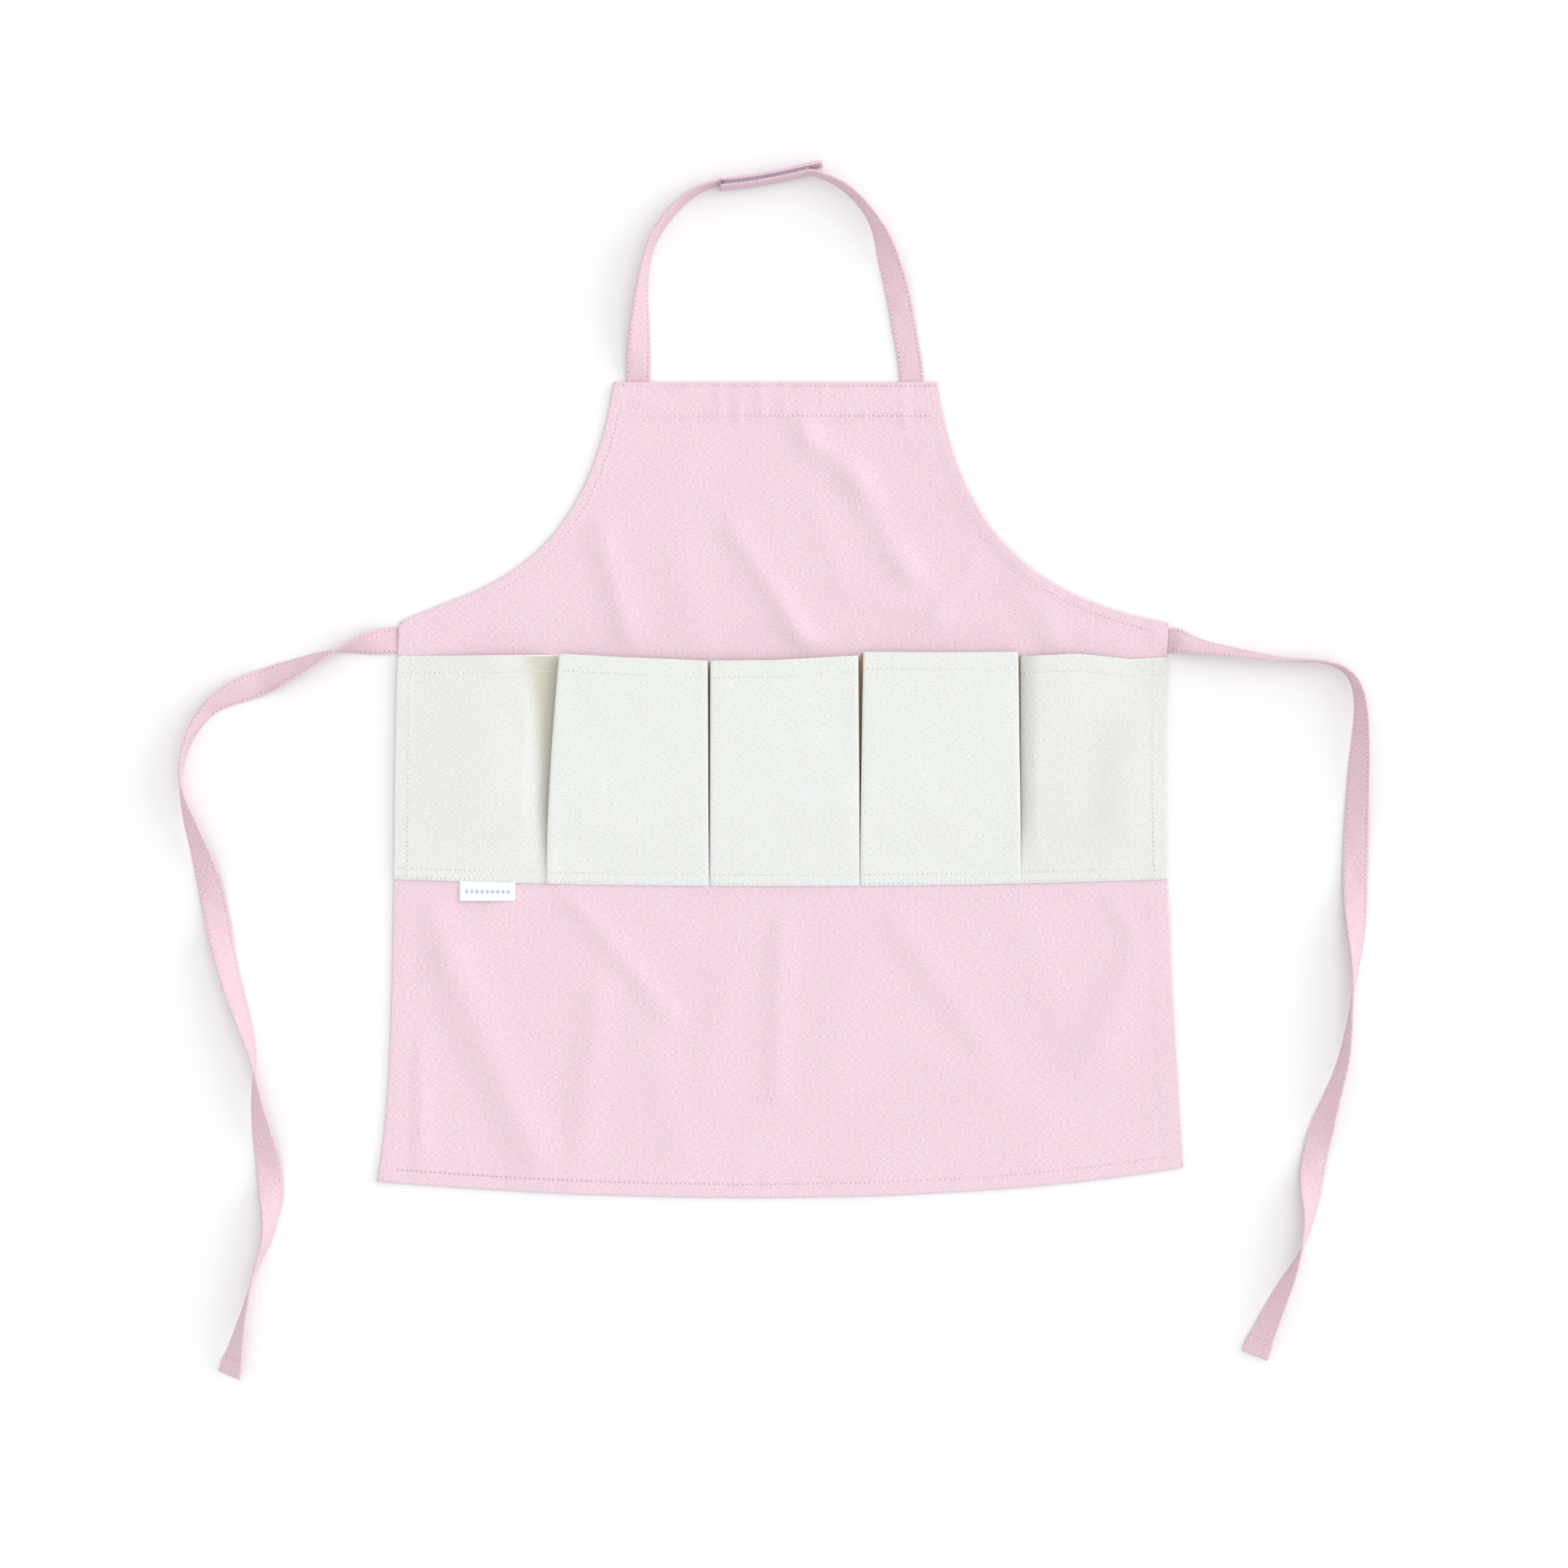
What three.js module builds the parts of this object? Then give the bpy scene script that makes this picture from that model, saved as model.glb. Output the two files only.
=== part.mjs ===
// Artist smock apron: a small child's bib apron in cotton canvas with a five-pocket band,
// laid flat with its front up. Millimetres: +X right, +Y towards the bib's top, +Z out of the front.
import * as THREE from 'three';

// ---- Driving dimensions: the panel ----
const panelLength = 501.5; // bib edge to the lowest point of the bottom hem
const loopReach = 136; // bib edge to the top of the closed neck loop
const bibWidth = 198.5;
const bibShift = -2.75; // the bib's centre line, off the bottom hem's
const waistWidth = 473.5;
const waistShift = 2.25;
const hemWidth = 496;
const waistDrop = 148.5; // bib edge down to the waist corners
const leftHemRise = 10; // lowest point of the bottom hem up to its corners
const rightHemRise = 18.5;
const panelCloth = 0.8;

// ---- Turned edges on the back ----
const clearance = 0.3; // gap kept between pieces that are sewn together
const foldCloth = 1.2; // a turned edge, two layers pressed flat
const bibHemDepth = 20;
const armholeHemDepth = 7;
const sideHemDepth = 9;
const bottomHemDepth = 8.5;

// ---- Straps, ties and the closure ----
const strapWidth = 15;
const strapCloth = 1.2;
const strapSewnIn = 14; // length of each strap inside the bib hem
const leftStrapInset = 14.5; // bib corners in to the straps' centre lines
const rightStrapInset = 15.5;
const tapeCloth = 0.6;
const tapeInset = 1; // the tapes are this much narrower than a strap on each side
const tieWidth = 15.5;
const tieCloth = 1.2;
const tieSewnIn = 12;
const tieInset = 2.75; // waist corner down to a tie's upper edge
const endHem = 11; // rolled hem at a tie's free end
const endHemCloth = 2.4;
const restHeight = 0.5; // ribbons lie this far above the surface
const ribbonRows = 4; // facets across a ribbon, enough that a twist keeps its two faces apart

// ---- Pocket band ----
const mouthInset = 1.25; // a tie's lower edge down to the pocket mouths
const pocketHeight = 139;
const pleatedWidths = [96, 93, 98]; // the patch pockets at both ends share the rest of the band
const patchDifference = 4; // the left patch pocket is this much wider than the right one
const pocketCloth = 0.6;
const mouthHemDepth = 11;
const mouthHemCloth = 0.5;
const mouthRoom = 4.4; // clear height between the panel and a mouth's turned hem
const riseLength = 55; // the fronts climb from the bottom seam to full height over this length
const gussetDepth = 15;
const gussetCloth = 0.4;
const gussetFoot = 34; // bottom seam up to where the gussets open
const patchHemInset = 12; // a patch pocket's mouth hem stops this far from its sewn sides

// ---- Label under the band ----
const labelWidth = 34;
const labelDrop = 12;
const labelCloth = 0.5;
const labelFromLeft = 37.5; // waist's left edge to the label's left edge

// ---- Levels and places that follow ----
const bibY = (panelLength - loopReach) / 2;
const waistY = bibY - waistDrop;
const tieY = waistY - tieInset - tieWidth / 2;
const mouthY = tieY - tieWidth / 2 - mouthInset;
const bandFootY = mouthY - pocketHeight;
const panelBase = foldCloth + clearance;
const panelTop = panelBase + panelCloth;
const pocketBase = panelTop + clearance;
const fullLift = mouthRoom + mouthHemCloth;

const point = (x, drop) => new THREE.Vector2(x, bibY - drop);
const bibLeft = point(bibShift - bibWidth / 2, 0);
const bibRight = point(bibShift + bibWidth / 2, 0);
const waistLeft = point(waistShift - waistWidth / 2, waistDrop);
const waistRight = point(waistShift + waistWidth / 2, waistDrop);
const hemLeft = point(-hemWidth / 2, panelLength - leftHemRise);
const hemRight = point(hemWidth / 2, panelLength - rightHemRise);
const strapX = { left: bibLeft.x + leftStrapInset, right: bibRight.x - rightStrapInset };

// ---- Cloths ----
const cloth = (color, roughness = 0.95) => new THREE.MeshStandardMaterial({ color, roughness, metalness: 0 });
const PINK = 0xf1d6e2;
const NATURAL = 0xedeee6;
const TAPE = 0xcfc9d6;
const LABEL = 0xf6f7f8;

const { lerp, clamp, smoothstep, degToRad } = THREE.MathUtils;
const apron = new THREE.Group();

// Turns the faces of a closed mesh outwards where its mapping mirrored them.
function facingOut(geometry) {
  const p = geometry.attributes.position;
  const index = geometry.index.array;
  const [a, b, c] = [new THREE.Vector3(), new THREE.Vector3(), new THREE.Vector3()];
  let volume = 0;
  for (let i = 0; i < index.length; i += 3) {
    a.fromBufferAttribute(p, index[i]);
    b.fromBufferAttribute(p, index[i + 1]);
    c.fromBufferAttribute(p, index[i + 2]);
    volume += a.dot(b.cross(c));
  }
  for (let i = 0; volume < 0 && i < index.length; i += 3) {
    [index[i], index[i + 1]] = [index[i + 1], index[i]];
  }
  geometry.computeVertexNormals();
  return geometry;
}

// A piece of cloth as a closed slab: place(u, v, w) gives the point for its length, width and thickness.
function addCloth(name, color, columns, rows, place) {
  const geometry = new THREE.BoxGeometry(1, 1, 1, columns, rows, 1);
  const p = geometry.attributes.position;
  for (let i = 0; i < p.count; i += 1) {
    const spot = place(p.getX(i) + 0.5, p.getY(i) + 0.5, p.getZ(i) + 0.5);
    p.setXYZ(i, spot.x, spot.y, spot.z);
  }
  const mesh = new THREE.Mesh(facingOut(geometry), cloth(color));
  mesh.name = name;
  apron.add(mesh);
}

// A flat piece cut to an outline, lying at the level given.
function addCut(name, color, outline, level, thickness) {
  const geometry = new THREE.ExtrudeGeometry(outline, { depth: thickness, bevelEnabled: false });
  const mesh = new THREE.Mesh(geometry, cloth(color));
  mesh.name = name;
  mesh.position.z = level;
  apron.add(mesh);
}

// ---- Main panel: six edges, counterclockwise from the bib's right corner ----
const bezier = (a, b, c, d) => new THREE.CubicBezierCurve(a, b, c, d);
const near = (corner, x, drop) => new THREE.Vector2(corner.x + x, corner.y - drop);
const dip = hemWidth * 0.3; // the bottom edge's handles reach in this far
const edges = {
  bib: new THREE.LineCurve(bibRight, bibLeft),
  leftArmhole: bezier(bibLeft, near(bibLeft, -13, 64), near(waistLeft, 103, -36), waistLeft),
  leftSide: bezier(waistLeft, near(waistLeft, -1, 130), near(hemLeft, 8, -90), hemLeft),
  bottom: bezier(hemLeft, near(hemLeft, dip, leftHemRise + 2.8), near(hemRight, -dip, rightHemRise + 6.7), hemRight),
  rightSide: bezier(hemRight, near(hemRight, -5, -90), near(waistRight, -6, 130), waistRight),
  rightArmhole: bezier(waistRight, near(waistRight, -110, -24), near(bibRight, 12, 60), bibRight),
};
const edgeSteps = { bib: 1, leftArmhole: 14, leftSide: 8, bottom: 12, rightSide: 8, rightArmhole: 14 };

function addMainPanel() {
  const outline = [];
  for (const [name, edge] of Object.entries(edges)) {
    outline.push(...edge.getPoints(edgeSteps[name]).slice(0, -1));
  }
  addCut('main_panel', PINK, new THREE.Shape(outline), panelBase, panelCloth);
}

// Where an edge reaches the value given of its x or y, for an edge that runs one way.
function reach(edge, axis, value) {
  let [low, high] = [0, 1];
  const rising = edge.getPoint(1)[axis] > edge.getPoint(0)[axis];
  for (let i = 0; i < 40; i += 1) {
    const middle = (low + high) / 2;
    const before = edge.getPoint(middle)[axis] < value;
    [low, high] = before === rising ? [middle, high] : [low, middle];
  }
  return low;
}

// A turned edge on the panel's back, following one edge from one place on it to another.
function addTurnedEdge(name, edgeName, depth, from, to) {
  const edge = edges[edgeName];
  addCloth(name, PINK, edgeSteps[edgeName] + 2, 1, (u, v, w) => {
    const t = lerp(from, to, u);
    const along = edge.getTangent(t);
    const p = edge.getPoint(t);
    const inward = clearance + v * (depth - clearance);
    return new THREE.Vector3(p.x - along.y * inward, p.y + along.x * inward, w * foldCloth);
  });
}

// The bib's deep hem, with a notch for each strap end that is sewn into it.
function addBibHem() {
  const top = bibY - clearance;
  const foot = bibY - bibHemDepth;
  const notchFoot = top - strapSewnIn - clearance;
  const half = strapWidth / 2 + clearance;
  const points = [[bibLeft.x + clearance, foot], [bibLeft.x + clearance, top]];
  for (const x of [strapX.left, strapX.right]) {
    points.push([x - half, top], [x - half, notchFoot], [x + half, notchFoot], [x + half, top]);
  }
  points.push([bibRight.x - clearance, top], [bibRight.x - clearance, foot]);
  const outline = new THREE.Shape(points.map(([x, y]) => new THREE.Vector2(x, y)));
  addCut('bib_top_hem', PINK, outline, 0, foldCloth);
}

function addTurnedEdges() {
  const underBib = bibY - bibHemDepth - clearance;
  const besideTie = tieSewnIn + 2 * clearance;
  const belowTie = tieY - tieWidth / 2 - clearance;
  const left = edges.leftArmhole;
  const right = edges.rightArmhole;
  const leftEnd = reach(left, 'x', waistLeft.x + besideTie);
  const rightStart = reach(right, 'x', waistRight.x - besideTie);
  addTurnedEdge('left_armhole_hem', 'leftArmhole', armholeHemDepth, reach(left, 'y', underBib), leftEnd);
  addTurnedEdge('right_armhole_hem', 'rightArmhole', armholeHemDepth, rightStart, reach(right, 'y', underBib - 1));
  const clearOfBottom = bottomHemDepth + 4 * clearance;
  const leftFoot = reach(edges.leftSide, 'y', hemLeft.y + clearOfBottom);
  const rightFoot = reach(edges.rightSide, 'y', hemRight.y + clearOfBottom);
  addTurnedEdge('left_side_hem', 'leftSide', sideHemDepth, reach(edges.leftSide, 'y', belowTie), leftFoot);
  addTurnedEdge('right_side_hem', 'rightSide', sideHemDepth, rightFoot, reach(edges.rightSide, 'y', belowTie));
  const cornerInset = 2 * clearance / hemWidth;
  addTurnedEdge('bottom_hem', 'bottom', bottomHemDepth, cornerInset, 1 - cornerInset);
}

// ---- Pockets ----
const bandLeft = waistLeft.x + 2 * clearance;
const bandWidth = waistWidth - 4 * clearance;
const patchWidth = (bandWidth - pleatedWidths.reduce((a, b) => a + b, 0)) / 2;
const pocketWidths = [patchWidth + patchDifference / 2, ...pleatedWidths, patchWidth - patchDifference / 2];
const pocketStarts = pocketWidths.map((_, i) => pocketWidths.slice(0, i).reduce((a, b) => a + b, bandLeft));
const isPleated = (i) => i > 0 && i < pocketWidths.length - 1;
const liftAt = (y) => fullLift * smoothstep(y, bandFootY, bandFootY + riseLength);
// A patch pocket is sewn down along both sides and bulges between them.
const crown = (i, u) => (isPleated(i) ? 1 : 1 - (2 * u - 1) ** 4);

function addPocketFront(i) {
  const left = pocketStarts[i] + clearance / 2;
  const right = pocketStarts[i] + pocketWidths[i] - clearance / 2;
  addCloth(`pocket_${i + 1}_front`, NATURAL, isPleated(i) ? 2 : 10, 12, (u, v, w) => {
    const y = lerp(bandFootY, mouthY, v);
    const lift = (liftAt(y) + clearance * smoothstep(v, 0, 0.1)) * crown(i, u);
    return new THREE.Vector3(lerp(left, right, u), y, pocketBase + lift + w * pocketCloth);
  });
}

function addMouthHem(i) {
  const inset = isPleated(i) ? 1 : patchHemInset;
  const from = inset / pocketWidths[i];
  addCloth(`pocket_${i + 1}_mouth_hem`, NATURAL, isPleated(i) ? 2 : 8, 2, (s, v, w) => {
    const u = lerp(from, 1 - from, s);
    const y = lerp(mouthY - mouthHemDepth, mouthY - clearance, v);
    const under = pocketBase + (liftAt(y) + clearance) * crown(i, u) - clearance;
    return new THREE.Vector3(pocketStarts[i] + u * pocketWidths[i], y, under - (1 - w) * mouthHemCloth);
  });
}

// A gusset folds inwards from the front's edge and back out to its seam on the panel: a sideways V.
function addGusset(i, side) {
  const outer = side < 0 ? pocketStarts[i] + clearance : pocketStarts[i] + pocketWidths[i] - clearance;
  addCloth(`pocket_${i + 1}_gusset_${side < 0 ? 'left' : 'right'}`, NATURAL, 4, 5, (u, v, w) => {
    const y = lerp(bandFootY + gussetFoot, mouthY - clearance, v);
    const high = pocketBase + liftAt(y) - mouthHemCloth - clearance - gussetCloth;
    const low = panelTop + clearance + gussetCloth;
    const inward = 1 - Math.abs(2 * u - 1);
    const z = lerp(high, low, u);
    const out = (w - 0.5) * gussetCloth;
    const atFold = u === 0.5;
    const dz = atFold ? 0 : out * Math.sign(0.5 - u);
    const x = outer - side * (gussetDepth * inward + (atFold ? out : 0));
    return new THREE.Vector3(x, y, z + dz);
  });
}

function addPockets() {
  pocketWidths.forEach((_, i) => {
    addPocketFront(i);
    addMouthHem(i);
    if (isPleated(i)) {
      addGusset(i, -1);
      addGusset(i, 1);
    }
  });
}

function addLabel() {
  const left = waistLeft.x + labelFromLeft;
  addCloth('label', LABEL, 1, 1, (u, v, w) => new THREE.Vector3(
    left + u * labelWidth,
    bandFootY - clearance - (1 - v) * labelDrop,
    pocketBase + w * labelCloth,
  ));
}

// ---- Ribbons: a route of [x, y, roll in degrees] from its seam; 0 lies flat and 90 stands on its edge ----
const leftStrapRoute = [
  [0, 0.4, 0], [0, 5, 3], [0.5, 16, 20], [1, 31, 35], [2, 49, 57], [3.5, 65, 70], [7.5, 85, 78], [13.5, 94.5, 74],
  [21, 104.5, 72], [29.5, 113, 72], [39, 118.8, 74], [50, 122.3, 75],
];
// The two strap ends lie face to face along this line, in the left strap's frame.
const closureRoute = [[50.5, 122.4, 75], [72, 124.8, 75], [92, 128.8, 75], [113.5, 133.6, 75]];
const chosenReach = 136; // the loop's reach and the right strap's span that the points were chosen at
const chosenSpan = -60.4;
const joinAt = 0.88; // along the closure, where the right strap runs in under the left one's end
const rightStrapRoute = [
  [0, 0.4, 0], [0, 5, 0], [-1, 13, 0], [-3, 25, 0], [-6, 43, -5], [-9, 58, -15], [-13, 73, -28], [-17, 87, -48],
  [-21.5, 97.5, -66], [-27.5, 106.8, -74], [-33.5, 113.6, -75], [-40, 119.4, -75], [-46.5, 123.4, -75],
  [-52.5, 126, -75],
];
const leftTieRoute = [
  [-0.8, 0, 0], [-5, 0, -2], [-10, -0.6, -9], [-18.5, -1.5, -35], [-29, -4, -65], [-39.5, -7, -95], [-50, -11, -116],
  [-61, -16, -132], [-73, -21, -152], [-85, -26, -178], [-98, -31, -208], [-112, -38, -236],
  [-123, -50, -250], [-130.5, -65, -264], [-134, -81, -272], [-132.5, -96, -284], [-128.5, -110, -302],
  [-123.5, -125, -316], [-118.5, -141, -336], [-114.5, -159, -360], [-111, -175, -372],
  [-107.5, -191, -396], [-102, -212.5, -406], [-96.5, -230, -416], [-91.5, -246.5, -432],
  [-88.5, -261, -450], [-87.5, -277.5, -474], [-85.5, -293, -492], [-82.5, -310, -514],
  [-80, -325, -536], [-78.5, -340, -556], [-78.5, -351, -592], [-80, -366, -610], [-85, -380, -624],
  [-90, -394, -634], [-93.5, -409, -643], [-97.5, -425, -657], [-101, -440, -679], [-104, -452, -690],
];
const rightTieRoute = [
  [0.8, 0, 0], [4.5, 0, -8], [9, -1.2, -33], [18, -3.5, -54], [30.5, -5.5, -66], [45.5, -8, -74], [61.5, -10.5, -80],
  [77.5, -12, -88], [91.5, -12.5, -90], [102.5, -15, -93], [110.5, -20, -98], [115.5, -28, -104],
  [118, -40.5, -113], [118, -58, -125], [117, -78, -143], [116, -100.5, -152], [115.5, -123, -172],
  [115, -145.5, -182], [115, -165.5, -200], [115, -183, -224], [114.5, -199.5, -247],
  [113, -216.5, -262], [111.5, -231.5, -270], [109.5, -246.5, -282], [106.5, -261.5, -291],
  [102, -275.5, -300], [97, -290.5, -319], [92.5, -306.5, -348], [89.5, -321.5, -364],
  [87.5, -336.5, -384], [86.5, -351.5, -418], [84, -365.5, -433], [79.5, -380.5, -450],
  [72, -395.5, -478], [65, -410.5, -492], [58.5, -425.5, -514], [53, -440, -526],
];

// Reads a route placed at its seam: spot(t, side) gives the centre line and its across and out directions.
function follow(route, seam, width, thickness) {
  const centres = route.map(([x, y, roll]) => {
    const turn = degToRad(roll);
    const z = restHeight + Math.abs(Math.sin(turn)) * width / 2 + Math.abs(Math.cos(turn)) * thickness / 2;
    return new THREE.Vector3(seam.x + x, seam.y + y, z);
  });
  const curve = new THREE.CatmullRomCurve3(centres, false, 'catmullrom', 0.5);
  return (t) => {
    const place = clamp(t, 0, 1) * (route.length - 1);
    const i = Math.min(Math.floor(place), route.length - 2);
    const turn = degToRad(lerp(route[i][2], route[i + 1][2], place - i));
    const along = curve.getTangent(t);
    const level = new THREE.Vector3(-along.y, along.x, 0).normalize();
    const up = new THREE.Vector3().crossVectors(along, level);
    const across = level.clone().multiplyScalar(Math.cos(turn)).addScaledVector(up, Math.sin(turn));
    const out = new THREE.Vector3().crossVectors(along, across);
    return { centre: curve.getPoint(t), across, out };
  };
}

// The share of a whole route that a length on its last stretch takes.
function lastShare(route, length) {
  const [a, b] = route.slice(-2);
  return length / Math.hypot(b[0] - a[0], b[1] - a[1]) / (route.length - 1);
}

// A length of ribbon on a route, shifted off its centre line along its own thickness where it is stacked.
function addRibbon(name, color, path, steps, { from = 0, to = 1, width, thickness, shift = 0 }) {
  addCloth(name, color, steps, ribbonRows, (u, v, w) => {
    const { centre, across, out } = path(lerp(from, to, u));
    return centre.addScaledVector(across, (v - 0.5) * width).addScaledVector(out, shift + (w - 0.5) * thickness);
  });
}

// The sewn end of a strap or tie, flat inside the hem that holds it.
function addSewnEnd(name, xFrom, xTo, yFrom, yTo) {
  addCloth(name, PINK, 1, 1, (u, v, w) => new THREE.Vector3(lerp(xFrom, xTo, u), lerp(yFrom, yTo, v), w * foldCloth));
}

// The hook tape sits on the left strap's end, the loop tape on the right strap's, and they face each other.
function addNeckLoop() {
  const half = strapWidth / 2;
  const leftSeam = new THREE.Vector2(strapX.left, bibY);
  const rightSeam = new THREE.Vector2(strapX.right, bibY);
  const size = { width: strapWidth, thickness: strapCloth };
  const tape = { width: strapWidth - 2 * tapeInset, thickness: tapeCloth, from: 0.04, to: joinAt - 0.02 };
  const reachTo = (route, scaleX = 1) => route.map(([x, y, roll]) => [x * scaleX, y * loopReach / chosenReach, roll]);
  const closure = follow(reachTo(closureRoute), leftSeam, strapWidth, strapCloth);
  const hookShift = strapCloth / 2 + clearance + tapeCloth / 2;
  const loopShift = hookShift + tapeCloth + clearance;
  const innerShift = loopShift + tapeCloth / 2 + clearance + strapCloth / 2;
  const join = closure(joinAt);
  const end = join.centre.clone().addScaledVector(join.out, innerShift);
  const span = end.x - rightSeam.x;
  const rightRoute = reachTo(rightStrapRoute, span / chosenSpan);
  rightRoute.push([span, end.y - rightSeam.y, rightStrapRoute.at(-1)[2]]);
  const rightSize = { ...size, to: 1 - lastShare(rightRoute, strapWidth / 10) };
  addRibbon('left_neck_strap', PINK, follow(reachTo(leftStrapRoute), leftSeam, strapWidth, strapCloth), 24, size);
  addRibbon('right_neck_strap', PINK, follow(rightRoute, rightSeam, strapWidth, strapCloth), 28, rightSize);
  addRibbon('left_strap_tab', PINK, closure, 6, size);
  addRibbon('hook_tape', TAPE, closure, 6, { ...tape, shift: hookShift });
  addRibbon('loop_tape', TAPE, closure, 6, { ...tape, shift: loopShift });
  addRibbon('right_strap_tab', PINK, closure, 6, { ...size, shift: innerShift, to: joinAt });
  for (const [side, x] of Object.entries(strapX)) {
    addSewnEnd(`${side}_strap_sewn_end`, x - half, x + half, bibY - clearance - strapSewnIn, bibY - clearance);
  }
}

function addTie(side, route, corner, edge, inward) {
  const footX = edge.getPoint(reach(edge, 'y', tieY - tieWidth / 2)).x;
  const outermost = inward > 0 ? Math.min(corner.x, footX) : Math.max(corner.x, footX);
  const seam = new THREE.Vector2(outermost, tieY);
  const path = follow(route, seam, tieWidth, endHemCloth);
  const endFrom = 1 - lastShare(route, endHem);
  const tieTo = endFrom - lastShare(route, clearance);
  addRibbon(`${side}_waist_tie`, PINK, path, 76, { width: tieWidth, thickness: tieCloth, to: tieTo });
  addRibbon(`${side}_tie_end_hem`, PINK, path, 2, { width: tieWidth, thickness: endHemCloth, from: endFrom });
  const edgeX = corner.x + inward * clearance;
  addSewnEnd(`${side}_tie_sewn_end`, edgeX, edgeX + inward * tieSewnIn, tieY - tieWidth / 2, tieY + tieWidth / 2);
}

addMainPanel();
addBibHem();
addTurnedEdges();
addPockets();
addLabel();
addNeckLoop();
addTie('left', leftTieRoute, waistLeft, edges.leftSide, 1);
addTie('right', rightTieRoute, waistRight, edges.rightSide, -1);

export default apron;
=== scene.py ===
"""Artist smock apron: a small child's canvas bib apron, laid flat with its front up.

Cloth, folds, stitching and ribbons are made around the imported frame. Lengths are worked out
in millimetres and turned into metres when a mesh is made.
"""
import bpy
import math
import numpy as np
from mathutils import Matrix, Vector
from mathutils.bvhtree import BVHTree


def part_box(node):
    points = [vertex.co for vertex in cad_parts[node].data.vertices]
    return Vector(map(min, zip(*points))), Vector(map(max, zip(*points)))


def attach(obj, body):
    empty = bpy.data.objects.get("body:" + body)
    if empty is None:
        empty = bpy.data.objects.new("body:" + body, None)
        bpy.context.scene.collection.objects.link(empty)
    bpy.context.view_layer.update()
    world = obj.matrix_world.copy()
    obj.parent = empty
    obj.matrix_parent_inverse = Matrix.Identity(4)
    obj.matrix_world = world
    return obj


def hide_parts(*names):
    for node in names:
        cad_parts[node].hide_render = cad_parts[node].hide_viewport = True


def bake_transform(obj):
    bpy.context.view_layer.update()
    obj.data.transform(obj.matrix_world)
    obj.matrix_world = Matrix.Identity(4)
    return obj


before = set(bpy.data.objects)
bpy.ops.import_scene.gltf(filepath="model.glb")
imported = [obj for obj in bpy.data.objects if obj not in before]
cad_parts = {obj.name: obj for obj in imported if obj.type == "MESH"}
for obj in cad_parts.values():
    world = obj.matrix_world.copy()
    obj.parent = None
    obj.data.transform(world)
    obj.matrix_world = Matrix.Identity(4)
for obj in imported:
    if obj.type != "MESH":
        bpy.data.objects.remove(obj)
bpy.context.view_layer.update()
MM = 0.001


# ---- Places taken from the frame, in millimetres ----
def box_mm(node):
    low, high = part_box(node)
    return np.array(low) / MM, np.array(high) / MM


EDGE_GAP = 0.3  # the frame's pieces stay this far inside the sewn edges


def pocket_edges(number):
    """Left and right edge of a pocket, out at its seams."""
    low, high = box_mm(f"pocket_{number}_front")
    return low[0] - EDGE_GAP / 2, high[0] + EDGE_GAP / 2


WAIST_RISE = 2.75  # a tie's upper edge up to the waist corner
LEFT_HEM_RISE = 10.0  # the bottom hem's lowest place up to its corners
RIGHT_HEM_RISE = 18.5
PANEL_LOW, PANEL_HIGH = box_mm("main_panel")
BIB_HEM_LOW, BIB_HEM_HIGH = box_mm("bib_top_hem")
LEFT_END_LOW, LEFT_END_HIGH = box_mm("left_tie_sewn_end")
RIGHT_END_LOW, RIGHT_END_HIGH = box_mm("right_tie_sewn_end")
BIB_Y = PANEL_HIGH[1]
TIE_WIDTH = LEFT_END_HIGH[1] - LEFT_END_LOW[1]
TIE_Y = (LEFT_END_HIGH[1] + LEFT_END_LOW[1]) / 2
WAIST_Y = LEFT_END_HIGH[1] + WAIST_RISE
BIB_LEFT = np.array([BIB_HEM_LOW[0] - EDGE_GAP, BIB_Y])
BIB_RIGHT = np.array([BIB_HEM_HIGH[0] + EDGE_GAP, BIB_Y])
WAIST_LEFT = np.array([LEFT_END_LOW[0] - EDGE_GAP, WAIST_Y])
WAIST_RIGHT = np.array([RIGHT_END_HIGH[0] + EDGE_GAP, WAIST_Y])
HEM_LEFT = np.array([PANEL_LOW[0], PANEL_LOW[1] + LEFT_HEM_RISE])
HEM_RIGHT = np.array([PANEL_HIGH[0], PANEL_LOW[1] + RIGHT_HEM_RISE])
PANEL_MID = (PANEL_LOW[2] + PANEL_HIGH[2]) / 2
FRONT_LOW, FRONT_HIGH = box_mm("pocket_2_front")
FOOT_Y, MOUTH_Y = FRONT_LOW[1], FRONT_HIGH[1]
POCKET_BASE = FRONT_LOW[2]
POCKET_EDGES = [pocket_edges(number) for number in range(1, 6)]
LEFT_STRAP_LOW, LEFT_STRAP_HIGH = box_mm("left_strap_sewn_end")
RIGHT_STRAP_LOW, RIGHT_STRAP_HIGH = box_mm("right_strap_sewn_end")
STRAP_WIDTH = LEFT_STRAP_HIGH[0] - LEFT_STRAP_LOW[0]
LEFT_STRAP_X = (LEFT_STRAP_LOW[0] + LEFT_STRAP_HIGH[0]) / 2
RIGHT_STRAP_X = (RIGHT_STRAP_LOW[0] + RIGHT_STRAP_HIGH[0]) / 2

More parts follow.
